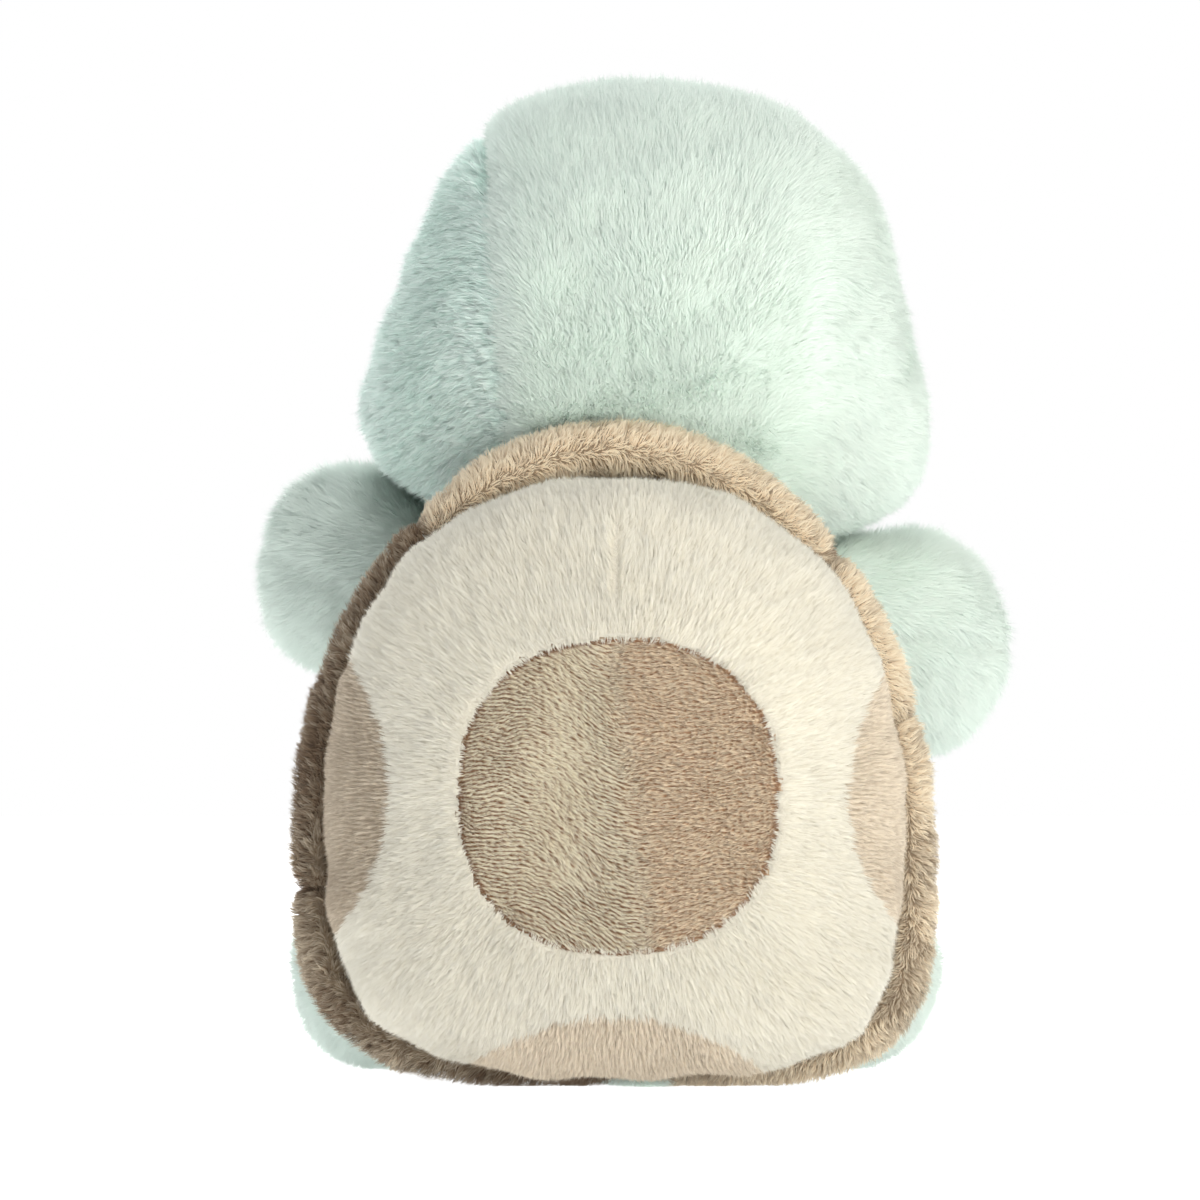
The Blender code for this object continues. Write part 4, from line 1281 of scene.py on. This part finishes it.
# %% [markdown]
# ## Stuffing and pellets
#
# These pieces are inside the cloth. Each has the solid's own shape, remeshed and pushed in unevenly, as
# fibre and plastic beads fill a bag.


# %% Stuffing and pellets
def finished(item, material, body, nodes):
    item.data.materials.append(material)
    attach(item, body)
    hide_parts(*nodes)


def stuffed(node, name, voxel, body, material=FIBRE, lump=0.0003, size=0.012, seed=0):
    bm = bmesh.new()
    bm.from_mesh(bpy.data.objects[node].data)
    bmesh.ops.remove_doubles(bm, verts=bm.verts, dist=1e-5)
    item = even_mesh(name, bm, voxel, 0.0002)
    points, normals = points_of(item.data), normals_of(item.data)
    move = -lump * (1 + 0.5 * waves(points, size, seed)).clip(0, 2)
    item.data.vertices.foreach_set("co", (points + normals * move[:, None]).ravel())
    item.data.polygons.foreach_set("use_smooth", np.ones(len(item.data.polygons), bool))
    finished(item, material, body, [node])


stuffed("body_filling", "body_stuffing", 0.0030, "torso", seed=1)
stuffed("shell_filling", "shell_stuffing", 0.0030, "torso", seed=2)
stuffed("rim_filling", "rim_stuffing", 0.0018, "torso", seed=3)
stuffed("head_filling", "head_stuffing", 0.0030, "head", seed=4)
stuffed("muzzle_filling", "muzzle_stuffing", 0.0016, "head", seed=5)
for side in SIDES:
    stuffed(side + "_arm_filling", side + "_arm_stuffing", 0.0024, side + "_arm", seed=6)
    stuffed(side + "_leg_filling", side + "_leg_stuffing", 0.0024, side + "_leg", seed=7)
stuffed("pellet_bag", "pellet_sack", 0.0018, "torso", COTTON, 0.0004, 0.004, 8)

# %% [markdown]
# ## Eyes and washers
#
# Each eye is a polished button with a stem. The stem goes through the cloth, and a washer is pressed on
# it from inside. Both are turned on a lathe, which bmesh calls a spin.


# %% Eyes and washers
def turned(profile, place, steps=56):
    bm = bmesh.new()
    verts = [bm.verts.new((radius, 0, height)) for radius, height in profile]
    edges = [bm.edges.new(pair) for pair in zip(verts, verts[1:])]
    bmesh.ops.spin(bm, geom=verts + edges, axis=(0, 0, 1), cent=(0, 0, 0), angle=math.tau, steps=steps)
    bmesh.ops.remove_doubles(bm, verts=bm.verts, dist=1e-6)
    bmesh.ops.recalc_face_normals(bm, faces=bm.faces)
    bmesh.ops.transform(bm, matrix=place, verts=bm.verts)
    return bm


def eye_place(sign):
    """Where the head's surface meets the eye's axis, and how it faces there."""
    surface = head_form(soften=0)
    surface.normal_update()
    tree = BVHTree.FromBMesh(surface)
    before = Vector((HEAD_MIDDLE.x + sign * 0.034, -1, 0.046))
    place, normal, _, _ = tree.ray_cast(before, Vector((0, 1, 0)))
    normal = normal if normal.y < 0 else -normal
    facing = normal.to_track_quat("Z", "Y").to_matrix().to_4x4()
    return HEAD_PLACE @ Matrix.Translation(place + normal * 0.0003) @ facing


DOME = [(0.0068 * math.sin(math.radians(a)), 0.0044 * math.cos(math.radians(a))) for a in range(0, 91, 6)]
BUTTON = DOME + [(0.0067, -0.0008), (0.0062, -0.0022), (0.0050, -0.0030), (0.0020, -0.0032)]
BUTTON += [(0.0020, -0.0116), (0.0016, -0.0120), (0, -0.0120)]
RING = [(0.0023, -0.0054), (0.0032, -0.0051), (0.0040, -0.0056), (0.0078, -0.0056), (0.0088, -0.0059)]
RING += [(0.0090, -0.0062), (0.0088, -0.0066), (0.0078, -0.0068), (0.0023, -0.0068), (0.0023, -0.0054)]
for side, sign in SIDES.items():
    place = eye_place(sign)
    button, ring = turned(BUTTON, place), turned(RING, place)
    finished(object_of(side + "_eye_button", button), EYE, "head", [side + "_eye"])
    finished(object_of(side + "_eye_ring", ring), WASHER, "head", [side + "_eye_washer"])

# %% [markdown]
# ## Mouth and nostrils
#
# The mouth is one stitch of a twisted thread, and a nostril is a few satin stitches side by side. A
# thread is a ring of points moved along its route, and each of its plies winds round that route.


# %% Mouth and nostrils
def muzzle_point(turn, lift, standoff):
    level = math.cos(lift)
    direction = Vector((math.sin(turn) * level, -math.cos(turn) * level, math.sin(lift)))
    return MUZZLE_MIDDLE + direction * (reach_of(direction, MUZZLE_REACH, 2.2) + standoff)


def ply(bm, route, out, radius, wind, pitch, phase, sides=8):
    """Adds one ply of a thread, winding round the route."""
    loops, travelled = [], 0
    for index, middle in enumerate(route):
        ahead = (route[min(index + 1, len(route) - 1)] - route[max(index - 1, 0)]).normalized()
        if index:
            travelled += (middle - route[index - 1]).length
        beside = ahead.cross(out).normalized()
        outer = beside.cross(ahead)
        turn = math.tau * (phase + travelled / pitch)
        centre = middle + (outer * math.cos(turn) + beside * math.sin(turn)) * wind
        ring = bmesh.ops.create_circle(bm, segments=sides, radius=radius)["verts"]
        for vert in ring:
            vert.co = centre + outer * vert.co.x + beside * vert.co.y
        loops.append(ring_edges(ring))
    bridge(bm, loops)


def mouth():
    bm = bmesh.new()
    route = []
    for step in range(141):
        across = step / 70 - 1
        lift = math.radians(-30 + 20 * across**2)
        route.append(muzzle_point(across * math.radians(48), lift, 0.0008))
    for phase in (0, 1 / 3, 2 / 3):
        ply(bm, route, Vector((0, -1, 0)), 0.00046, 0.00040, 0.0028, phase)
    return bm


def nostril(sign):
    """Seven satin stitches, each over a small pad."""
    bm = bmesh.new()
    centre = muzzle_point(sign * math.radians(20), math.radians(24), 0.0014)
    out = (centre - MUZZLE_MIDDLE).normalized()
    across = out.cross(Vector((0, 0, 1))).normalized()
    up = across.cross(out)
    for stitch in range(7):
        offset = 0.0016 * (stitch / 3 - 1)
        tall = 0.0017 * math.sqrt(1 - (0.85 * (stitch / 3 - 1)) ** 2)
        route = []
        for step in range(13):
            turn = math.pi * step / 12
            level = centre + across * offset + up * tall * math.cos(turn)
            route.append(level + out * tall * (math.sin(turn) - 0.3))
        ply(bm, route, out, 0.00034, 0, 1, 0, 6)
    return bm


for name, bm, node in (
    ("mouth_thread", mouth(), "mouth_stitch"),
    ("left_nostril_threads", nostril(1), "left_nostril_stitch"),
    ("right_nostril_threads", nostril(-1), "right_nostril_stitch"),
):
    bmesh.ops.recalc_face_normals(bm, faces=bm.faces)
    bmesh.ops.transform(bm, matrix=HEAD_PLACE, verts=bm.verts)
    finished(object_of(name, bm), THREAD, "head", [node])

# %% [markdown]
# ## Room, lamps and camera
#
# The toy sits on a white floor in front of white. A warm key lamp stands behind it on the right, with a
# low one under it, and a weak fill on the left. Smaller lamps light the crown and the left foot, and one
# in front is for the face, which the camera doesn't see. The camera is right behind the toy, with a long
# lens.


# %% Floor and world
def studio():
    """The camera and reflections see plain white, and the toy is lit by a little less."""
    world = bpy.data.worlds.new("white_room")
    bpy.context.scene.world = world
    world.use_nodes = True
    tree = world.node_tree
    nodes, link = tree.nodes, tree.links.new
    light, room = nodes["Background"], nodes.new("ShaderNodeBackground")
    for shade, strength in ((light, 0.69), (room, 1)):
        shade.inputs["Color"].default_value = (1, 1, 1, 1)
        shade.inputs["Strength"].default_value = strength
    path, seen, mix = (nodes.new("ShaderNode" + kind) for kind in ("LightPath", "Math", "MixShader"))
    seen.operation = "MAXIMUM"
    link(path.outputs["Is Camera Ray"], seen.inputs[0])
    link(path.outputs["Is Glossy Ray"], seen.inputs[1])
    for index, node in enumerate((seen, light, room)):
        link(node.outputs[0], mix.inputs[index])
    link(mix.outputs[0], nodes["World Output"].inputs["Surface"])


def floor():
    bm = bmesh.new()
    bmesh.ops.create_grid(bm, x_segments=1, y_segments=1, size=3)
    item = object_of("floor", bm, smooth=False)
    glow = {"Emission_Color": (1, 1, 1, 1), "Emission_Strength": 0.7}
    finish = Finish("white_floor", Base_Color=(0.9, 0.9, 0.9, 1), Roughness=0.9, **glow)
    glow = finish.node("ShaderNodeEmission", values={"Color": (1, 1, 1, 1), "Strength": 1.2})
    path = finish.node("ShaderNodeLightPath")
    finish.mix_shaders(path * 0.7, glow)
    item.data.materials.append(finish.material)


def lamp(name, place, target, size, power, colour):
    light = bpy.data.lights.new(name, "AREA")
    light.color = colour
    light.shape = "DISK"
    light.size = size
    light.energy = power
    item = placed(name, light)
    item.location = place
    item.rotation_euler = (Vector(target) - Vector(place)).to_track_quat("-Z", "Y").to_euler()


studio()
floor()
lamp("key", (-1.2, 1.5, 0.7), (0, 0, 0.12), 0.9, 18.6, (1, 0.94, 0.83))
lamp("low", (-0.6, 1.3, 0.03), (0, 0, 0.02), 0.6, 14, (1, 0.98, 0.94))
lamp("top", (0, 0.3, 1.9), (0, 0, 0.2), 1.0, 9, (1, 1, 1))
lamp("foot", (0.9, -0.2, 0.06), (0.08, -0.05, 0.03), 0.3, 0.8, (1, 1, 1))
lamp("fill", (1.2, 1.3, 0.5), (0, 0, 0.12), 1.2, 1.5, (0.9, 0.95, 1))
lamp("front", (0.3, -1.6, 0.9), (0, 0, 0.12), 1.2, 32, (1, 1, 1))


# %% Camera
def aim_camera():
    data = bpy.data.cameras.new("camera")
    item = placed("camera", data)
    data.sensor_width = 36
    rise, away, seen_width = math.radians(0.5), 4.0, 0.300
    middle = Vector((0.007, 0.060, 0.1225))
    back = Vector((0, math.cos(rise), math.sin(rise)))
    item.location = middle + back * away
    item.rotation_euler = (-back).to_track_quat("-Z", "Y").to_euler()
    data.lens = data.sensor_width * away / seen_width
    bpy.context.scene.camera = item
    bpy.context.scene.view_settings.view_transform = "Standard"


aim_camera()
